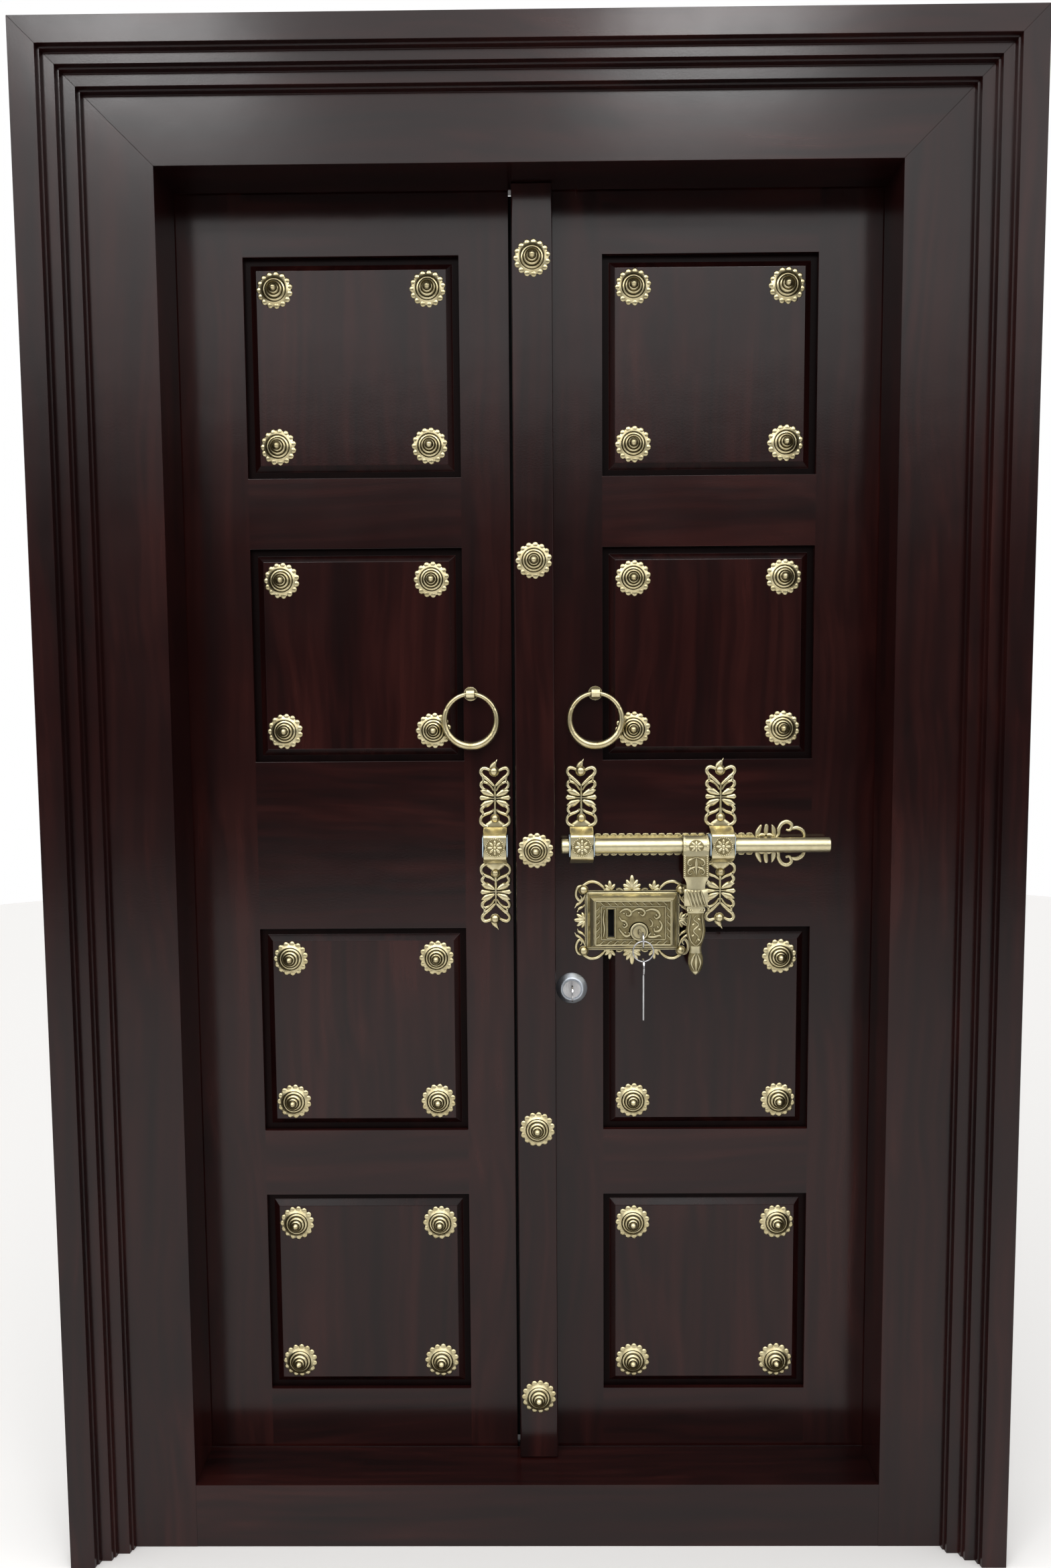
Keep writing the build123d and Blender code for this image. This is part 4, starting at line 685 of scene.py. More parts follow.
def stud_spots(panel_x, hidden=()):
    """The corners of a leaf's four panels, without those in hidden."""
    spots = []
    for row, z in enumerate(PANEL_LEVELS):
        for sx in (-0.5, 0.5):
            for sz in (-0.5, 0.5):
                if (row, sx, sz) not in hidden:
                    spots.append((panel_x + sx * STUD_PITCH[0], FIELD_Y, z + sz * STUD_PITCH[1]))
    return spots


def studs(name, spots, body, *nodes):
    """All studs of one leaf or strip as one piece."""
    mesh = finish_mesh(repeat(stud_form(), spots), name, [turned_brass], smooth=math.radians(40))
    print(name, len(mesh.polygons), "faces")
    new_piece(name, mesh, body, "satin_brass", *nodes)


studs(
    "left_studs", stud_spots(PANEL_AXIS - PANEL_OFFSET), "left_leaf",
    "left_stud_petals", "left_stud_domes",
)
studs(
    "right_studs", stud_spots(PANEL_AXIS + PANEL_OFFSET, hidden=((1, -0.5, 0.5),)), "right_leaf",
    "right_stud_petals", "right_stud_domes",
)
CENTRE_STUDS = 5
CENTRE_LEVEL = 1.030
CENTRE_PITCH = 0.418
levels = [CENTRE_LEVEL + (i - CENTRE_STUDS // 2) * CENTRE_PITCH for i in range(CENTRE_STUDS)]
centre = [(ASTRAGAL_MIDDLE, ASTRAGAL_FRONT, z) for z in levels]
studs("centre_studs", centre, "right_leaf", "centre_stud_petals", "centre_stud_domes")

# %% [markdown]
# ## Cast strokes
# The openwork of the clamps and every relief on the lock are the same kind of form: a rounded
# band that runs along a curve, swells and thins on its way and often curls in at its end. One
# function makes such a stroke from a few points of place and width, drawn through by a
# Catmull-Rom curve. The section is round in front and flat at the back, like a casting.

# %% Strokes, rows and hoops
FULL_WIDTH = 3.0
POINTED = 1.2
SECTION = ((-0.5, 0.0), (-0.43, 0.55), (-0.2, 0.92), (0.2, 0.92), (0.43, 0.55), (0.5, 0.0))
SPAN_STEPS = 5


def between(a, b, c, d, t):
    """A Catmull-Rom value at t between b and c."""
    square = 2 * a - 5 * b + 4 * c - d
    cube = 3 * b - a - 3 * c + d
    return 0.5 * (2 * b + (c - a) * t + square * t ** 2 + cube * t ** 3)


def through(points):
    """A smooth line through points of any number of values."""
    ends = [points[0], *points, points[-1]]
    line = []
    for four in zip(ends, ends[1:], ends[2:], ends[3:]):
        for i in range(SPAN_STEPS):
            t = i / SPAN_STEPS
            line.append([between(*values, t) for values in zip(*four)])
    return line + [list(points[-1])]


def joined(form, rows, caps=True, finishes=None):
    """Faces between rows of vertices that each go once round a form, with a finish for each span."""
    for i, (first, second) in enumerate(zip(rows, rows[1:])):
        for k in range(len(first)):
            after = (k + 1) % len(first)
            face = form.faces.new((first[k], first[after], second[after], second[k]))
            face.material_index = finishes[i] if finishes else 0
    if caps:
        form.faces.new(rows[0])
        form.faces.new(rows[-1]).material_index = finishes[-1] if finishes else 0


def stroke(form, points, height, middle, sides=(1, 1), sag=0.0):
    """A rounded band along points of (across, up, width) round a middle, all in millimetres."""
    line = through(points)
    rows = []
    for i, (x, z, width) in enumerate(line):
        before, after = line[max(i - 1, 0)], line[min(i + 1, len(line) - 1)]
        along = Vector((after[0] - before[0], after[1] - before[1])).normalized()
        rise = height * (0.5 + 0.5 * min(1.0, width / FULL_WIDTH))
        row = []
        for out, up in SECTION:
            spot_x = x - along.y * out * width
            spot_z = z + along.x * out * width
            depth = middle[1] + sag * (spot_x / 10) ** 2 - rise * up
            place = (middle[0] + sides[0] * spot_x, depth, middle[2] + sides[1] * spot_z)
            row.append(form.verts.new(Vector(place) / 1000))
        rows.append(row)
    joined(form, rows)


def strokes(form, lines, height, middle, ways=((1, 1), (-1, 1)), sag=0.0, widen=1.0):
    """The same strokes on several sides of a middle, widened where they are not pointed."""
    for sides in ways:
        for points in lines:
            wide = [(x, z, width * widen if width > POINTED else width) for x, z, width in points]
            stroke(form, wide, height, middle, sides, sag)


def lofted(form, rows, middle, back, grounds=()):
    """A bar with a crowned front from rows of (up, half width, edge depth, crown depth).

    Between the levels in grounds the surface is stippled ground."""
    made = []
    line = through(rows)
    finishes = [1 if any(low < row[0] < high for low, high in grounds) else 0 for row in line]
    for z, half, edge, crown in line:
        row = [(-half, back), (-half, edge)]
        for part in (-0.75, -0.4, 0.0, 0.4, 0.75):
            row.append((part * half, edge + (crown - edge) * (1 - part * part)))
        row += [(half, edge), (half, back)]
        made.append([
            form.verts.new((Vector(middle) + Vector((x, y, z))) / 1000) for x, y in row
        ])
    joined(form, made, finishes=finishes)


def hoop(form, middle, radius, tube, steps, sides):
    """A ring flat to the doorway whose tube radius follows the angle from its top."""
    rows = []
    for i in range(steps):
        angle = 2 * math.pi * i / steps
        row = []
        for k in range(sides):
            turn = 2 * math.pi * k / sides
            reach = radius + tube(angle) * math.cos(turn)
            place = (reach * math.sin(angle), tube(angle) * math.sin(turn), reach * math.cos(angle))
            row.append(form.verts.new((Vector(middle) + Vector(place)) / 1000))
        rows.append(row)
    joined(form, rows + [rows[0]], caps=False)


def bead_ring(form, middle, radius, count, halves, lean=0.0):
    """Beads in a circle facing the viewer, each leaning so that the circle looks roped."""
    for i in range(count):
        turn = at(*middle) @ Matrix.Rotation(2 * math.pi * i / count, 4, "Y")
        turn = turn @ at(radius, 0, 0) @ Matrix.Rotation(lean, 4, "Y")
        swell(form, (0, 0, 0), halves, turn, subdivisions=1)


def bead_line(form, start, end, count, halves, lean=0.0):
    """Beads between two places, each leaning."""
    for i in range(count):
        place = Vector(start).lerp(Vector(end), i / (count - 1))
        turn = at(*place) @ Matrix.Rotation(lean, 4, "Y")
        swell(form, (0, 0, 0), halves, turn, subdivisions=1)


def petals(form, middle, count, inner, halves, start=0.0):
    """Pillow petals round a middle."""
    for i in range(count):
        turn = Matrix.Rotation(start + 2 * math.pi * i / count, 4, "Y")
        swell(form, (inner, 0, 0), halves, at(*middle) @ turn)


def done(form, name, materials, body, slot, *nodes, smooth=math.radians(48)):
    """Closes a form and makes it a piece."""
    bmesh.ops.recalc_face_normals(form, faces=form.faces)
    print(name, len(form.faces), "faces")
    return new_piece(name, finish_mesh(form, name, materials, smooth=smooth), body, slot, *nodes)


# %% [markdown]
# ## Clamps
# Each clamp is an arched strap with a palmette above it, and mostly one below. The palmette is
# drawn as the founder draws it: a stem, and pairs of loops, wings, arms, scrolls and a heart
# that are mirrored across the stem, with a flame leaning over the top. The strap is a shell
# round the bush, nipped in at its waist, and carries a rosette in a roped circle.

# %% Palmettes and straps
ROD_HEIGHT = 1034.5
FOOT = [(0, 21, 31), (0, 26, 33), (0, 30, 31), (0, 34, 22), (0, 39, 9)]
STEM = [(0, 36, 9), (0, 43, 7), (0, 51, 5), (0, 60, 4.4), (0, 80, 4), (0, 89, 3.4)]
FLAME = [
    (-1.4, 104, 9), (-2.4, 112, 12), (-2.2, 117, 10.4), (0.2, 121.6, 6.6), (2.2, 124.6, 3),
    (3.6, 127.4, 0.7),
]
HALF_PALMETTE = (
    [(11, 27, 6), (17, 29.4, 6), (21, 33.4, 5.8), (21.6, 38.6, 5.4), (19, 43.4, 5.4), (13, 46.6, 5.4),
     (7, 48.8, 5), (1.6, 53, 4)],
    [(18.6, 43.6, 5), (17.6, 47.6, 4.8), (20.4, 52, 6), (17.8, 56.6, 5), (12, 58.8, 3.4)],
    [(1.6, 66.6, 3.4), (8, 63.4, 8.6), (15, 60.6, 10), (21.6, 58.8, 2)],
    [(1, 69.8, 3), (10, 70.1, 4.6), (17, 70.4, 7.2), (20.4, 70.5, 8.4), (22.8, 70.5, 3)],
    [(1.6, 73.2, 3.4), (8, 76.4, 8.6), (15, 79.4, 10), (21.6, 81.4, 2)],
    [(12, 82, 3.4), (17.4, 84.4, 5), (20.6, 89.4, 6), (17.8, 94.2, 5.2), (11.6, 92.4, 4.6), (6, 88, 4.4),
     (1.6, 81, 3.8)],
    [(17.8, 93.4, 4.8), (16.8, 97.4, 4.8), (17.4, 102, 5)],
    [(0.4, 87.4, 4), (6, 93, 5.4), (12.4, 99, 6), (18, 103.6, 5.8), (20.8, 109.2, 5.8), (17.2, 114.2, 5.8),
     (11, 113.4, 5.4), (5, 110, 4)],
)
CAST_HEIGHT = 3.2
ROPE_LEAN = 0.6
DOME = (
    (0, 0), (7.3, 0), (7.4, 0.8), (6.5, 1.5), (6.3, 2.6), (5.3, 4.3), (3.3, 5.5), (1.2, 5.95), (0, 6.0),
)
DOME_STEPS = 24
DOME_FOOT = -1.6
STRAP_FRONT = [
    (0, 28), (-9, 25.4), (-21, 21.6), (-29.2, 18.6), (-31.5, 16.8), (-32, 14), (-32, 8), (-32, 4),
    (-32, 1.5),
]
STRAP_INSIDE = [(0, 25), (-26.5, 16), (-29, 13.5)]
STRAP_HALF = 17.0
STRAP_FACE = -32.0
ROUNDED_END = 0.94
END_DROP = 0.9
NIP = 2.4
NIP_REACH = 6
MEDALLION = 13.0
ROSETTE_PETALS = 8
ROSETTE_INNER = 6.6
ROSETTE_PETAL = (4.5, 1.7, 2.2)
ROSETTE_HEART = (3.0, 2.4, 3.0)
ROPE_RING = 13.2
RING_BEADS = 30
RING_BEAD = (1.5, 1.4, 1.05)
GROUND_RISE = 0.25
GROUND_EDGE = 0.3
GROUND_STEPS = 32
PALMETTE_DOMES = {1: ((0, 40.0, 0.92), (-1.0, 109.7, 1.02)), -1: ((0, 42.0, 0.92), (-1.0, 110.5, 1.02))}


def strap(form, x):
    """The arch over the rod: a shell whose front is nipped in at its waist."""
    outside = STRAP_FRONT + [(y, -up) for y, up in reversed(STRAP_FRONT)]
    inside = [(y, -up) for y, up in STRAP_INSIDE] + [(y, up) for y, up in reversed(STRAP_INSIDE)]
    rows = []
    for share in (-1.0, -ROUNDED_END, ROUNDED_END, 1.0):
        drop = END_DROP if abs(share) == 1.0 else 0.0
        row = []
        for y, up in outside + inside:
            waist = NIP * max(0.0, 1 - abs(up) / NIP_REACH) if y < STRAP_FACE + 1 else 0.0
            lowered = drop if (y, up) in outside and y < 0 else 0.0
            place = (x + share * (STRAP_HALF - waist), y + lowered, ROD_HEIGHT + up)
            row.append(form.verts.new(Vector(place) / 1000))
        rows.append(row)
    joined(form, rows)


def medallion(form, middle, radius):
    """A thin disc of stippled ground that makes the petals on it stand out."""
    before = set(form.faces)
    spun(form, ((0, GROUND_RISE), (radius, GROUND_RISE), (radius + GROUND_EDGE, 0)), GROUND_STEPS, middle)
    for face in set(form.faces) - before:
        face.material_index = 1


def clamp(name, x, ways, body):
    """A clamp at x: its strap, the rosette in its roped ring, and a palmette each way."""
    form = bmesh.new()
    strap(form, x)
    front = (x, STRAP_FACE + 0.2, ROD_HEIGHT)
    medallion(form, (x, STRAP_FACE, ROD_HEIGHT), MEDALLION)
    petals(form, front, ROSETTE_PETALS, ROSETTE_INNER, ROSETTE_PETAL)
    swell(form, (0, 0, 0), ROSETTE_HEART, at(*front))
    bead_ring(form, front, ROPE_RING, RING_BEADS, RING_BEAD, ROPE_LEAN)
    middle = (x, 0.0, ROD_HEIGHT)
    for way in ways:
        strokes(form, HALF_PALMETTE, CAST_HEIGHT, middle, ((1, way), (-1, way)))
        for line in (FOOT, STEM, FLAME):
            stroke(form, line, CAST_HEIGHT, middle, (1, way))
    done(form, name + "_dressed", [brass, ground_brass], body, "satin_brass", name)


def clamp_screws(form, x, ways):
    """The two domed screws of each palmette."""
    for way in ways:
        for across, up, size in PALMETTE_DOMES[way]:
            profile = [(radius * size, height * size) for radius, height in DOME]
            spun(form, profile, DOME_STEPS, (x + across, DOME_FOOT, ROD_HEIGHT + way * up))


KEEPER_X = -55.0
INNER_X = 72.3
OUTER_X = 278.0
clamp("keeper_clamp", KEEPER_X, (1, -1), "left_leaf")
clamp("inner_clamp", INNER_X, (1,), "right_leaf")
clamp("outer_clamp", OUTER_X, (1, -1), "right_leaf")
form = bmesh.new()
clamp_screws(form, KEEPER_X, (1, -1))
done(form, "keeper_screws_dressed", [turned_brass], "left_leaf", "satin_brass", "keeper_screws")

# %% [markdown]
# ## Rod and back plate
# The rod is drawn bar with a small chamfer. Behind it a thin plate runs with scalloped edges,
# each scallop with a little scroll in it, and ends in wings and a scroll.

# %% Rod and plate
UPRIGHT_TO_LEVEL = Matrix.Rotation(math.pi / 2, 4, "Z")
ROD_ENDS = (42.0, 436.5)
ROD_MIDDLE_Y = -17.3
half_rod = (ROD_ENDS[1] - ROD_ENDS[0]) / 2
ROD_STEPS = 64
ROD_PROFILE = (
    (0, -half_rod), (9.3, -half_rod), (10.2, -half_rod + 0.5), (11, -half_rod + 1.7),
    (11, half_rod - 1.7), (10.2, half_rod - 0.5), (9.3, half_rod), (0, half_rod),
)
form = bmesh.new()
rod_middle = (sum(ROD_ENDS) / 2, ROD_MIDDLE_Y, ROD_HEIGHT)
spun(form, ROD_PROFILE, ROD_STEPS, rod_middle, UPRIGHT_TO_LEVEL)
done(form, "bolt_rod_dressed", [drawn_brass], "rod", "satin_brass", "bolt_rod", smooth=math.radians(30))

PLATE_START = 90.85
PLATE_PITCH = 11.8
PLATE_LOBES = 20
PLATE_TAIL = PLATE_START + PLATE_LOBES * PLATE_PITCH
PLATE_OVERLAP = 3
PLATE_FACE = -1.4
PLATE_ROUND = 0.0004
plate = merged("rod_back_plate")
bmesh.ops.bisect_plane(
    plate, geom=plate.verts[:] + plate.edges[:] + plate.faces[:], dist=WELD, plane_no=(1, 0, 0),
    plane_co=((PLATE_TAIL + PLATE_OVERLAP) / 1000, 0, 0), clear_outer=True, clear_inner=False,
)
bmesh.ops.holes_fill(plate, edges=[edge for edge in plate.edges if edge.is_boundary])
soften(plate, PLATE_ROUND)
SMALL_SCROLL = [
    (-4.2, 12.5, 1.0), (-3.6, 14.8, 1.4), (0, 15.9, 1.7), (3.4, 14.6, 1.5), (2.8, 12.4, 1.3),
    (0.6, 12.8, 1.1),
]
WINGS = (
    [(3, 0, 6), (5, 8, 5), (7, 17, 6), (10.6, 26, 3.4), (12, 28, 1)],
    [(6, 10, 4), (12, 13, 4.6), (18, 12, 4.6), (24, 13, 4.6), (30, 10, 4)],
    [(18.4, 9, 4), (18.6, 18, 5.6), (19.6, 27, 4.6), (20, 29, 1.2)],
    [(33, 0, 6), (31, 8, 5), (30.4, 17, 6), (28.6, 25, 3.6), (27, 28, 1)],
    [(34, 8, 4), (37.4, 14, 4.4), (38, 22, 4.8), (43, 30, 5), (51, 32, 5), (57, 27, 4.6), (54, 19.6, 3.8),
     (48, 20.6, 3)],
    [(57, 22, 4), (65, 23, 5), (72.6, 19, 5), (75.6, 12, 4.4), (74, 5, 4), (70, 2, 3)],
)
form = bmesh.new()
for i in range(PLATE_LOBES):
    middle = (PLATE_START + (i + 0.5) * PLATE_PITCH, PLATE_FACE, ROD_HEIGHT)
    for way in (1, -1):
        stroke(form, SMALL_SCROLL, 1.3, middle, (1, way))
strokes(form, WINGS, 2.6, (PLATE_TAIL, 0, ROD_HEIGHT), ((1, 1), (1, -1)), widen=1.3)
done(form, "back_plate_scrolls", [brass], "right_leaf", "satin_brass")
plate_mesh = finish_mesh(plate, "rod_back_plate_dressed", [brass])
new_piece("rod_back_plate_dressed", plate_mesh, "right_leaf", "satin_brass", "rod_back_plate")

# %% [markdown]
# ## Handle
# The handle is one casting. Its collar turns on the rod, with roped edges and a leaf rosette.
# Below hangs the hasp plate, then a neck under a roped saddle, a leaf shaped grip with a vine
# inside a border, a second neck and a bulb. The bar is lofted through rows, and the relief is
# laid on its crown.

# %% Handle
HANDLE_X = 238.6
GRIP_ROWS = (
    (8, 17.6, -27.5, -28.5), (-8, 18.4, -30.4, -31.2), (-42, 18.6, -30.4, -31.2), (-46, 17.4, -30, -31.4),
    (-52, 14.6, -29.4, -32), (-58, 13.4, -29, -32.6), (-66, 13.4, -29, -33), (-88, 12.6, -29, -33),
    (-92, 13.4, -29, -33), (-98, 12.0, -29, -32.6), (-104, 11.6, -29, -32.8), (-114, 12.8, -29.2, -33.2),
    (-124, 13.8, -29.4, -33.4), (-132, 12.6, -29.4, -33.2), (-140, 10.4, -29, -33), (-149, 8.2, -28.6, -33),
    (-156, 8.6, -28.6, -33.4), (-164, 10.4, -28.8, -34), (-174, 10.6, -28.8, -34), (-182, 8.4, -28.6, -33.4),
    (-188, 4.6, -28.2, -31.4), (-190.8, 1.2, -27.6, -29),
)
GRIP_GROUNDS = ((-43, -13), (-147, -97), (-184, -157))
SADDLE_ROWS = (
    (-62.4, 15.6, -28.6, -30), (-64.4, 16.9, -29.6, -33), (-69, 17.2, -30.2, -35),
    (-75.6, 17.3, -30.4, -35.8), (-82, 17.2, -30.2, -35), (-87, 16.9, -29.6, -33), (-89, 15.6, -28.6, -30),
)
HASP_LEAVES = (
    [(0, -15.5, 1.6), (5, -17.5, 2.6), (10.5, -20, 3), (12.4, -25, 2.8), (9, -28, 2.4), (6.4, -25.4, 1.8)],
    [(0.6, -29.5, 2), (5, -31, 3.2), (10, -33.5, 3), (12.2, -38, 2.4), (9, -41, 2), (6.6, -38.6, 1.6)],
    [(12.6, -29.5, 1.2), (8.6, -30.4, 2.4), (4, -34, 2.2), (2.6, -39, 1)],
)
HASP_SPINE = [(0, -16, 1.2), (0, -21, 3.4), (0, -26, 4.6), (0, -33, 3.4), (0, -42, 1)]
GRIP_BORDER = (
    [(8.4, -100, 1.2), (8.8, -106, 1.4), (10.6, -119, 1.5), (10.2, -129, 1.5), (7, -140, 1.4),
     (0, -146.6, 1.2)],
)
VINE = [
    (0, -101, 1.4), (-3.6, -107, 2), (3.4, -115, 2.4), (-3.8, -124, 2.4), (3, -132.5, 2), (-1, -141, 1.2),
]
VINE_LEAVES = ((4.4, -107), (-4.2, -114.5), (5, -122), (-4.6, -131), (4, -137.5))
BULB_FLAME = ([(0.6, -157, 1), (5, -165, 2.8), (6.6, -173, 2.6), (2.6, -183, 0.8)],)
BULB_SPINE = [(0, -158, 1), (0, -168, 4), (0, -184, 0.8)]
COLLAR_PROFILE = (
    (11.15, -19), (14.2, -19), (15, -18.2), (15, -14.8), (14.4, -14.2), (14.4, 14.2), (15, 14.8), (15, 18.2),
    (14.2, 19), (11.15, 19), (11.15, -19),
)
COLLAR_STEPS = 48
ROPE_BEADS = 28
ROPE_OFF = 16.6
ROPE_RADIUS = 14.6
GRIP_BACK = -26.2
SADDLE_BACK = -26.4
HASP_EDGE = 16.4
HASP_ROPE = (-14, -43)
NECK_ROPE = (12, -94)
SADDLE_RIBS = 5
RIB_PITCH = 5
RIB_LEAN = 4
COLLAR_RADIUS = 15.0


def on_handle(y, across=0.0, up=0.0):
    """A place on the handle, from its own middle line and the rod's height."""
    return (HANDLE_X + across, y, ROD_HEIGHT + up)


def wrap_on_collar(verts):
    """Bends a flat rosette round the rod, so that it clears the leaf when the handle is lifted."""
    for vert in verts:
        reach = ROD_MIDDLE_Y / 1000 - vert.co.y
        angle = (vert.co.z * 1000 - ROD_HEIGHT) / COLLAR_RADIUS
        vert.co.y = ROD_MIDDLE_Y / 1000 - reach * math.cos(angle)
        vert.co.z = ROD_HEIGHT / 1000 + reach * math.sin(angle)


form = bmesh.new()
spun(form, COLLAR_PROFILE, COLLAR_STEPS, on_handle(ROD_MIDDLE_Y), UPRIGHT_TO_LEVEL)
for side in (-1, 1):
    for i in range(ROPE_BEADS):
        spoke = Matrix.Rotation(2 * math.pi * i / ROPE_BEADS, 4, "X")
        place = at(*on_handle(ROD_MIDDLE_Y, side * ROPE_OFF))
        outward = at(0, -ROPE_RADIUS, 0) @ Matrix.Rotation(ROPE_LEAN, 4, "Y")
        swell(form, (0, 0, 0), (2.0, 0.9, 1.2), place @ spoke @ outward, subdivisions=1)
lofted(form, GRIP_ROWS, on_handle(0), GRIP_BACK, GRIP_GROUNDS)
lofted(form, SADDLE_ROWS, on_handle(0), SADDLE_BACK)
rosette = bmesh.new()
medallion(rosette, on_handle(-32.1), 10.4)
petals(rosette, on_handle(-32.0), ROSETTE_PETALS, 5.6, (4.5, 1.5, 2.0))
swell(rosette, (0, 0, 0), (2.6, 2.6, 2.6), at(*on_handle(-31.4)))
wrap_on_collar(rosette.verts)
rosette_mesh = bpy.data.meshes.new("rosette")
rosette.to_mesh(rosette_mesh)
rosette.free()
form.from_mesh(rosette_mesh)
bpy.data.meshes.remove(rosette_mesh)
for side in (-1, 1):
    top, bottom = [on_handle(-30.2, side * HASP_EDGE, up) for up in HASP_ROPE]
    bead_line(form, top, bottom, 11, (2.0, 1.3, 1.3), ROPE_LEAN)
strokes(form, HASP_LEAVES, 2.0, on_handle(-30.6))
stroke(form, HASP_SPINE, 1.6, on_handle(-30.9))
for i in range(SADDLE_RIBS):
    x = (i - SADDLE_RIBS // 2) * RIB_PITCH
    rib = [(x - RIB_LEAN, -63.6, 2.4), (x, -75.6, 3.6), (x + RIB_LEAN, -87.8, 2.4)]
    stroke(form, rib, 1.8, on_handle(-35.3), sag=1.5)
left, right = [on_handle(-31.2, side * NECK_ROPE[0], NECK_ROPE[1]) for side in (-1, 1)]
bead_line(form, left, right, 8, (1.6, 1.8, 2.2), 0.5)
strokes(form, GRIP_BORDER, 1.9, on_handle(-32.4), sag=1.6, widen=1.5)
stroke(form, VINE, 1.8, on_handle(-32.8), sag=1.6)
for across, up in VINE_LEAVES:
    turn = Matrix.Rotation(math.copysign(ROPE_LEAN, across), 4, "Y")
    spot = at(*on_handle(-32.2, across, up)) @ turn
    swell(form, (0, 0, 0), (2.6, 1.7, 1.6), spot, subdivisions=1)
strokes(form, BULB_FLAME, 1.8, on_handle(-33.2), sag=2.4, widen=1.2)
stroke(form, BULB_SPINE, 1.4, on_handle(-33.4))
done(form, "handle_dressed", [drawn_brass, ground_brass], "handle", "satin_brass", "handle")

# %% [markdown]
# ## Lock box
# The box is a casting with smooth ogee sides. Rectangular loops, each a little further in and
# further forward, give the sides, and the last one is joined to the edge of the slot, which
# leaves a true pocket. Frames and scrolls are laid on the front, a boss holds the plug, and a
# border of foliage lies round the box on the leaf.

# %% Lock box
LOCK = (147.5, 0.0, 920.8)
LOCK_LOOPS = (
    (0, 0), (0, -2.6), (0.5, -3.2), (1.6, -3.6), (2.2, -6), (3.0, -10), (4.6, -14.6), (7.0, -18.4),
    (9.2, -20.6), (10.0, -22.2), (10.2, -23.6), (10.9, -24.0),
)
LOCK_HALF = (68.0, 42.5)
LOCK_FRONT = -24.0
RELIEF_FOOT = -23.8
SLOT_ACROSS = -32.7
SLOT_HALF = (4.5, 20.5)
SLOT_FRAME = (6.4, 22.6)
SLOT_FLOOR = -8.0
BOSS = (155.9, 908.2)
BOSS_STEPS = 40
BOSS_PROFILE = (
    (8.05, -6), (8.05, 4.0), (8.9, 4.0), (9.3, 3.0), (10.4, 2.8), (10.9, 3.9), (12.5, 3.9), (13.2, 3.2),
    (13.3, 0), (14.6, 0),
)


def loop_of(form, middle, half, y):
    """The four corners of a level rectangle, in order."""
    row = []
    for sx, sz in ((-1, -1), (1, -1), (1, 1), (-1, 1)):
        place = Vector((middle[0] + sx * half[0], y, middle[1] + sz * half[1]))
        row.append(form.verts.new(place / 1000))
    return row


form = bmesh.new()
loops = []
for inset, y in LOCK_LOOPS:
    half = (LOCK_HALF[0] - inset, LOCK_HALF[1] - inset)
    loops.append(loop_of(form, (LOCK[0], LOCK[2]), half, y))
slot_middle = (LOCK[0] + SLOT_ACROSS, LOCK[2])
loops += [loop_of(form, slot_middle, SLOT_HALF, y) for y in (LOCK_FRONT, SLOT_FLOOR)]
# The slot's walls and floor take the near black painted shade.
joined(form, loops, finishes=[0] * (len(LOCK_LOOPS) - 1) + [1, 2])


def frame_strip(form, middle, half, width, height):
    """A raised rectangular frame line."""
    x, z = half
    for sign in (-1, 1):
        stroke(form, [(-x, sign * z, width), (x, sign * z, width)], height, middle, (1, 1))
        stroke(form, [(sign * x, -z, width), (sign * x, z, width)], height, middle, (1, 1))


face = (LOCK[0], RELIEF_FOOT, LOCK[2])
FRAME_LINES = (((55.4, 32.8), 3.2, 2.1), ((47.0, 24.6), 2.0, 1.9))
for line in FRAME_LINES:
    frame_strip(form, face, *line)
S_SCROLL = [
    (-4.6, 1.5, 1.2), (-3.2, 2.6, 1.6), (-1.4, 1.4, 1.9), (0, 0, 2.1), (1.4, -1.4, 1.9), (3.2, -2.6, 1.6),
    (4.6, -1.5, 1.2),
]
SCROLL_RISE = 1.9
ROW_SCROLLS = 10
ROW_START = (-46.5, 29.2)
ROW_PITCH = 10.33
COLUMN_SCROLLS = 5
COLUMN_START = (51.8, -20.6)
COLUMN_PITCH = 10.3
for i in range(ROW_SCROLLS):
    for sign in (-1, 1):
        across, up = ROW_START[0] + i * ROW_PITCH, sign * ROW_START[1]
        middle = (LOCK[0] + across, RELIEF_FOOT, LOCK[2] + up)
        stroke(form, S_SCROLL, SCROLL_RISE, middle, (sign, 1))
upright = [(z, x, width) for x, z, width in S_SCROLL]
for i in range(COLUMN_SCROLLS):
    for sign in (-1, 1):
        across, up = sign * COLUMN_START[0], COLUMN_START[1] + i * COLUMN_PITCH
        middle = (LOCK[0] + across, RELIEF_FOOT, LOCK[2] + up)
        stroke(form, upright, SCROLL_RISE, middle, (1, sign))
slot_face = (LOCK[0] + SLOT_ACROSS, RELIEF_FOOT, LOCK[2])
frame_strip(form, slot_face, SLOT_FRAME, 1.8, 1.8)
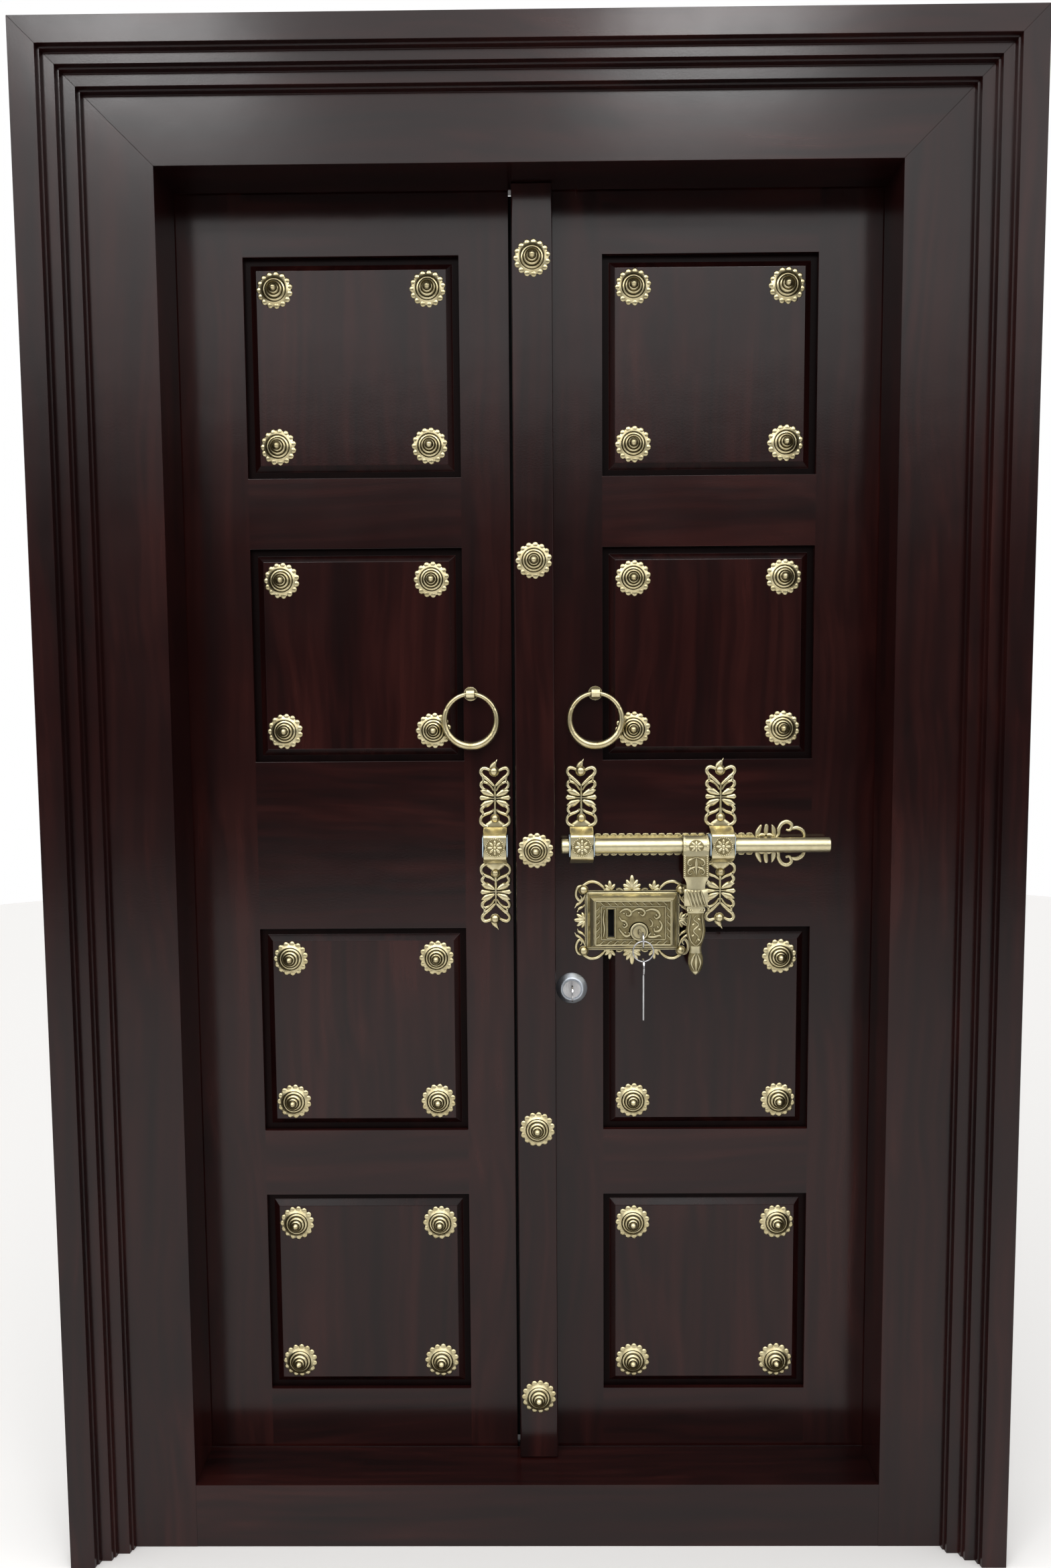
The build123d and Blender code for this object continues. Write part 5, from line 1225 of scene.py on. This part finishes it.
FIELD_SCROLLS = (
    [(-20, 16, 1.6), (-15, 20, 2.4), (-8, 20.4, 2.8), (-3, 16, 2.8), (-5.4, 11, 2.4), (-10, 12, 1.8),
     (-10, 15, 1.2)],
    [(-3, 16, 2), (4, 20.4, 2.4), (12, 20.6, 2.8), (17, 16, 2.8), (14, 11, 2.2), (10, 13.4, 1.6)],
    [(18, 18, 1.8), (26, 20.4, 2.6), (35, 18, 3), (39, 11, 2.8), (34, 6.6, 2.2), (30, 10, 1.6)],
    [(38, 4, 2), (42, -3, 2.6), (39, -11, 2.8), (32, -12.4, 2.4), (30, -7, 1.8)],
    [(-21, 10, 1.6), (-17, 4, 2.4), (-12, 2.4, 2.6), (-9, -3, 2.4), (-13.4, -6.4, 2), (-16, -3.4, 1.4)],
    [(-21, -8, 1.6), (-17, -14, 2.4), (-11, -19.6, 2.8), (-5, -17.4, 2.4), (-7, -13, 1.8)],
    [(26, -14, 1.8), (22, -19.6, 2.6), (30, -21, 2.8), (38, -18.4, 2.4), (41, -20.6, 1.2)],
    [(-44, -20, 1.4), (-42.6, -8, 2.2), (-44.2, 6, 2.2), (-42.6, 20, 1.4)],
    [(24, 6, 1.4), (28, 1, 2.2), (27, -4, 2), (24, -5, 1.2)],
)
strokes(form, FIELD_SCROLLS, 2.4, face, ((1, 1),), widen=1.5)
FIELD_DOTS = ((-14, 15), (8, 15.6), (34, 12), (36, -6), (-13, -2), (-12, -14), (31, -17))
for across, up in FIELD_DOTS:
    place = at(LOCK[0] + across, RELIEF_FOOT, LOCK[2] + up)
    swell(form, (0, 0, 0), (1.9, 1.9, 1.9), place, subdivisions=1)
spun(form, BOSS_PROFILE, BOSS_STEPS, (BOSS[0], LOCK_FRONT, BOSS[1]))
done(
    form, "lock_case_dressed", [drawn_brass, ground_brass, keyhole_shade_black], "right_leaf", "satin_brass", "lock_case",
    smooth=math.radians(40),
)

# %% [markdown]
# The leaves and scrolls round the box lie on the leaf. They are the same in all four quarters,
# so one quarter of strokes is drawn and mirrored. A leaf is a fan of pillow lobes that spread
# from one place.

# %% Foliage round the lock box
QUARTER = (
    [(40, 44.6, 4), (44, 50.6, 4.4), (52, 56.6, 5), (62, 58, 5), (70, 54, 5), (74.6, 50, 5)],
    [(72, 51, 5), (79.6, 50.4, 5), (83.4, 43, 5), (82.8, 35, 5), (78.4, 29.6, 4.6), (74.6, 33, 3.6),
     (77, 37.4, 3)],
    [(69.4, 39, 3.6), (73, 31.6, 4.4), (78, 26, 4.4), (82.6, 23, 4.6), (85.4, 18.4, 1)],
    [(69.6, 24, 3.6), (74.4, 20, 4.4), (79.4, 17, 4.4), (81.6, 12.6, 2.4)],
    [(14, 45.4, 3), (19, 47.4, 4), (23.6, 46, 3)],
)
TOP_FAN = (
    (0, 23, 4.0), (28, 18, 3.6), (-28, 18, 3.6), (56, 16, 3.6), (-56, 16, 3.6), (84, 14, 3.0),
    (-84, 14, 3.0),
)
TUFT_FAN = ((6, 15.4, 3.2), (-34, 12, 3.0), (44, 12.4, 3.0), (76, 10.6, 2.6))
SIDE_FAN = ((0, 18, 3.8), (34, 16.4, 3.4), (-34, 16.4, 3.4), (66, 13, 3.0), (-66, 13, 3.0))
LOBE_RISE = 2.6
TOP_FAN_UP = 45
SIDE_FAN_OUT = 69.6
TUFT_PLACE = (32, 44.6)
BORDER_HALF = (69.6, 44.1)
BORDER_SCREW = (72.5, 46.0)


def fan(form, base, lobes, heading, way=1):
    """Lobes spread from a base; heading is the middle lobe's angle from +X in degrees."""
    for angle, length, half in lobes:
        turn = Matrix.Rotation(-math.radians(heading + way * angle), 4, "Y")
        swell(form, (length / 2, 0, 0), (length / 2, LOBE_RISE, half), at(*base) @ turn)


form = bmesh.new()
quarters = [(sx, sz) for sx in (-1, 1) for sz in (-1, 1)]
strokes(form, QUARTER, 3.0, LOCK, quarters)
for sign in (-1, 1):
    fan(form, (LOCK[0], 0, LOCK[2] + sign * TOP_FAN_UP), TOP_FAN, sign * 90)
    fan(form, (LOCK[0] + sign * SIDE_FAN_OUT, 0, LOCK[2]), SIDE_FAN, 90 - sign * 90)
for sx, sz in quarters:
    base = (LOCK[0] + sx * TUFT_PLACE[0], 0, LOCK[2] + sz * TUFT_PLACE[1])
    fan(form, base, TUFT_FAN, sz * 90, -sx * sz)
frame_strip(form, LOCK, BORDER_HALF, 2.4, 2.6)
done(form, "lock_border_dressed", [brass], "right_leaf", "satin_brass", "lock_border")

form = bmesh.new()
clamp_screws(form, INNER_X, (1,))
clamp_screws(form, OUTER_X, (1, -1))
for sx, sz in quarters:
    spot = (LOCK[0] + sx * BORDER_SCREW[0], DOME_FOOT, LOCK[2] + sz * BORDER_SCREW[1])
    spun(form, DOME, DOME_STEPS, spot)
done(form, "right_screws_dressed", [turned_brass], "right_leaf", "satin_brass", "right_screws")

# %% [markdown]
# ## Rings and cylinder
# A ring handle is thin where it hangs and thick where the hand takes it, so its tube radius is
# a function of the angle, with a few turned lines. The key ring is a plain hoop. The cylinder
# sits in a bright cone with a lip round the plug.

# %% Rings and cylinder
RING_Y = -12.0
RING_TOP = 1258.3
RING_RADIUS = 38.2
RING_STEPS = (160, 14)
KEY_RING_Y = -91.0
KEY_RING_RADIUS = 14.5
KEY_RING_STEPS = (64, 10)
KEY_RING_WIRE = 1.0
CYLINDER = (57.2, 0.0, 818.0)
CYLINDER_STEPS = 56
CONE_PROFILE = (
    (13.1, 0), (23.4, 0), (23.4, 0.9), (22.7, 2.2), (20.6, 4.6), (18.2, 7.2), (17.0, 8.4), (16.0, 8.9),
    (14.9, 8.9), (14.3, 8.2), (13.1, 8.0), (13.1, 0),
)
RING_LINES = [math.radians(angle) for angle in (62, 66, 120, 124, 176, 180, 184, 236, 240, 294, 298)]


def grip_tube(angle):
    """The ring's tube radius at an angle from its top."""
    line = min(abs(angle - mark) for mark in RING_LINES)
    return 3.05 + 1.25 * (1 - math.cos(angle)) - (0.32 if line < 0.02 else 0.0)


for name, x in (("left_ring", -89.3), ("right_ring", 93.3)):
    form = bmesh.new()
    hoop(form, (x, RING_Y, RING_TOP - RING_RADIUS), RING_RADIUS, grip_tube, *RING_STEPS)
    done(form, name + "_dressed", [turned_brass], name, "satin_brass", name, smooth=math.radians(60))
form = bmesh.new()
middle = (BOSS[0], KEY_RING_Y, BOSS[1] - KEY_RING_RADIUS)
hoop(form, middle, KEY_RING_RADIUS, lambda angle: KEY_RING_WIRE, *KEY_RING_STEPS)
done(form, "key_ring_dressed", [nickel], "key_ring", "bright_steel", "key_ring")
form = bmesh.new()
spun(form, CONE_PROFILE, CYLINDER_STEPS, CYLINDER)
done(
    form, "cylinder_rose_dressed", [rose_nickel], "right_leaf", "bright_steel", "cylinder_rose",
    smooth=math.radians(30),
)
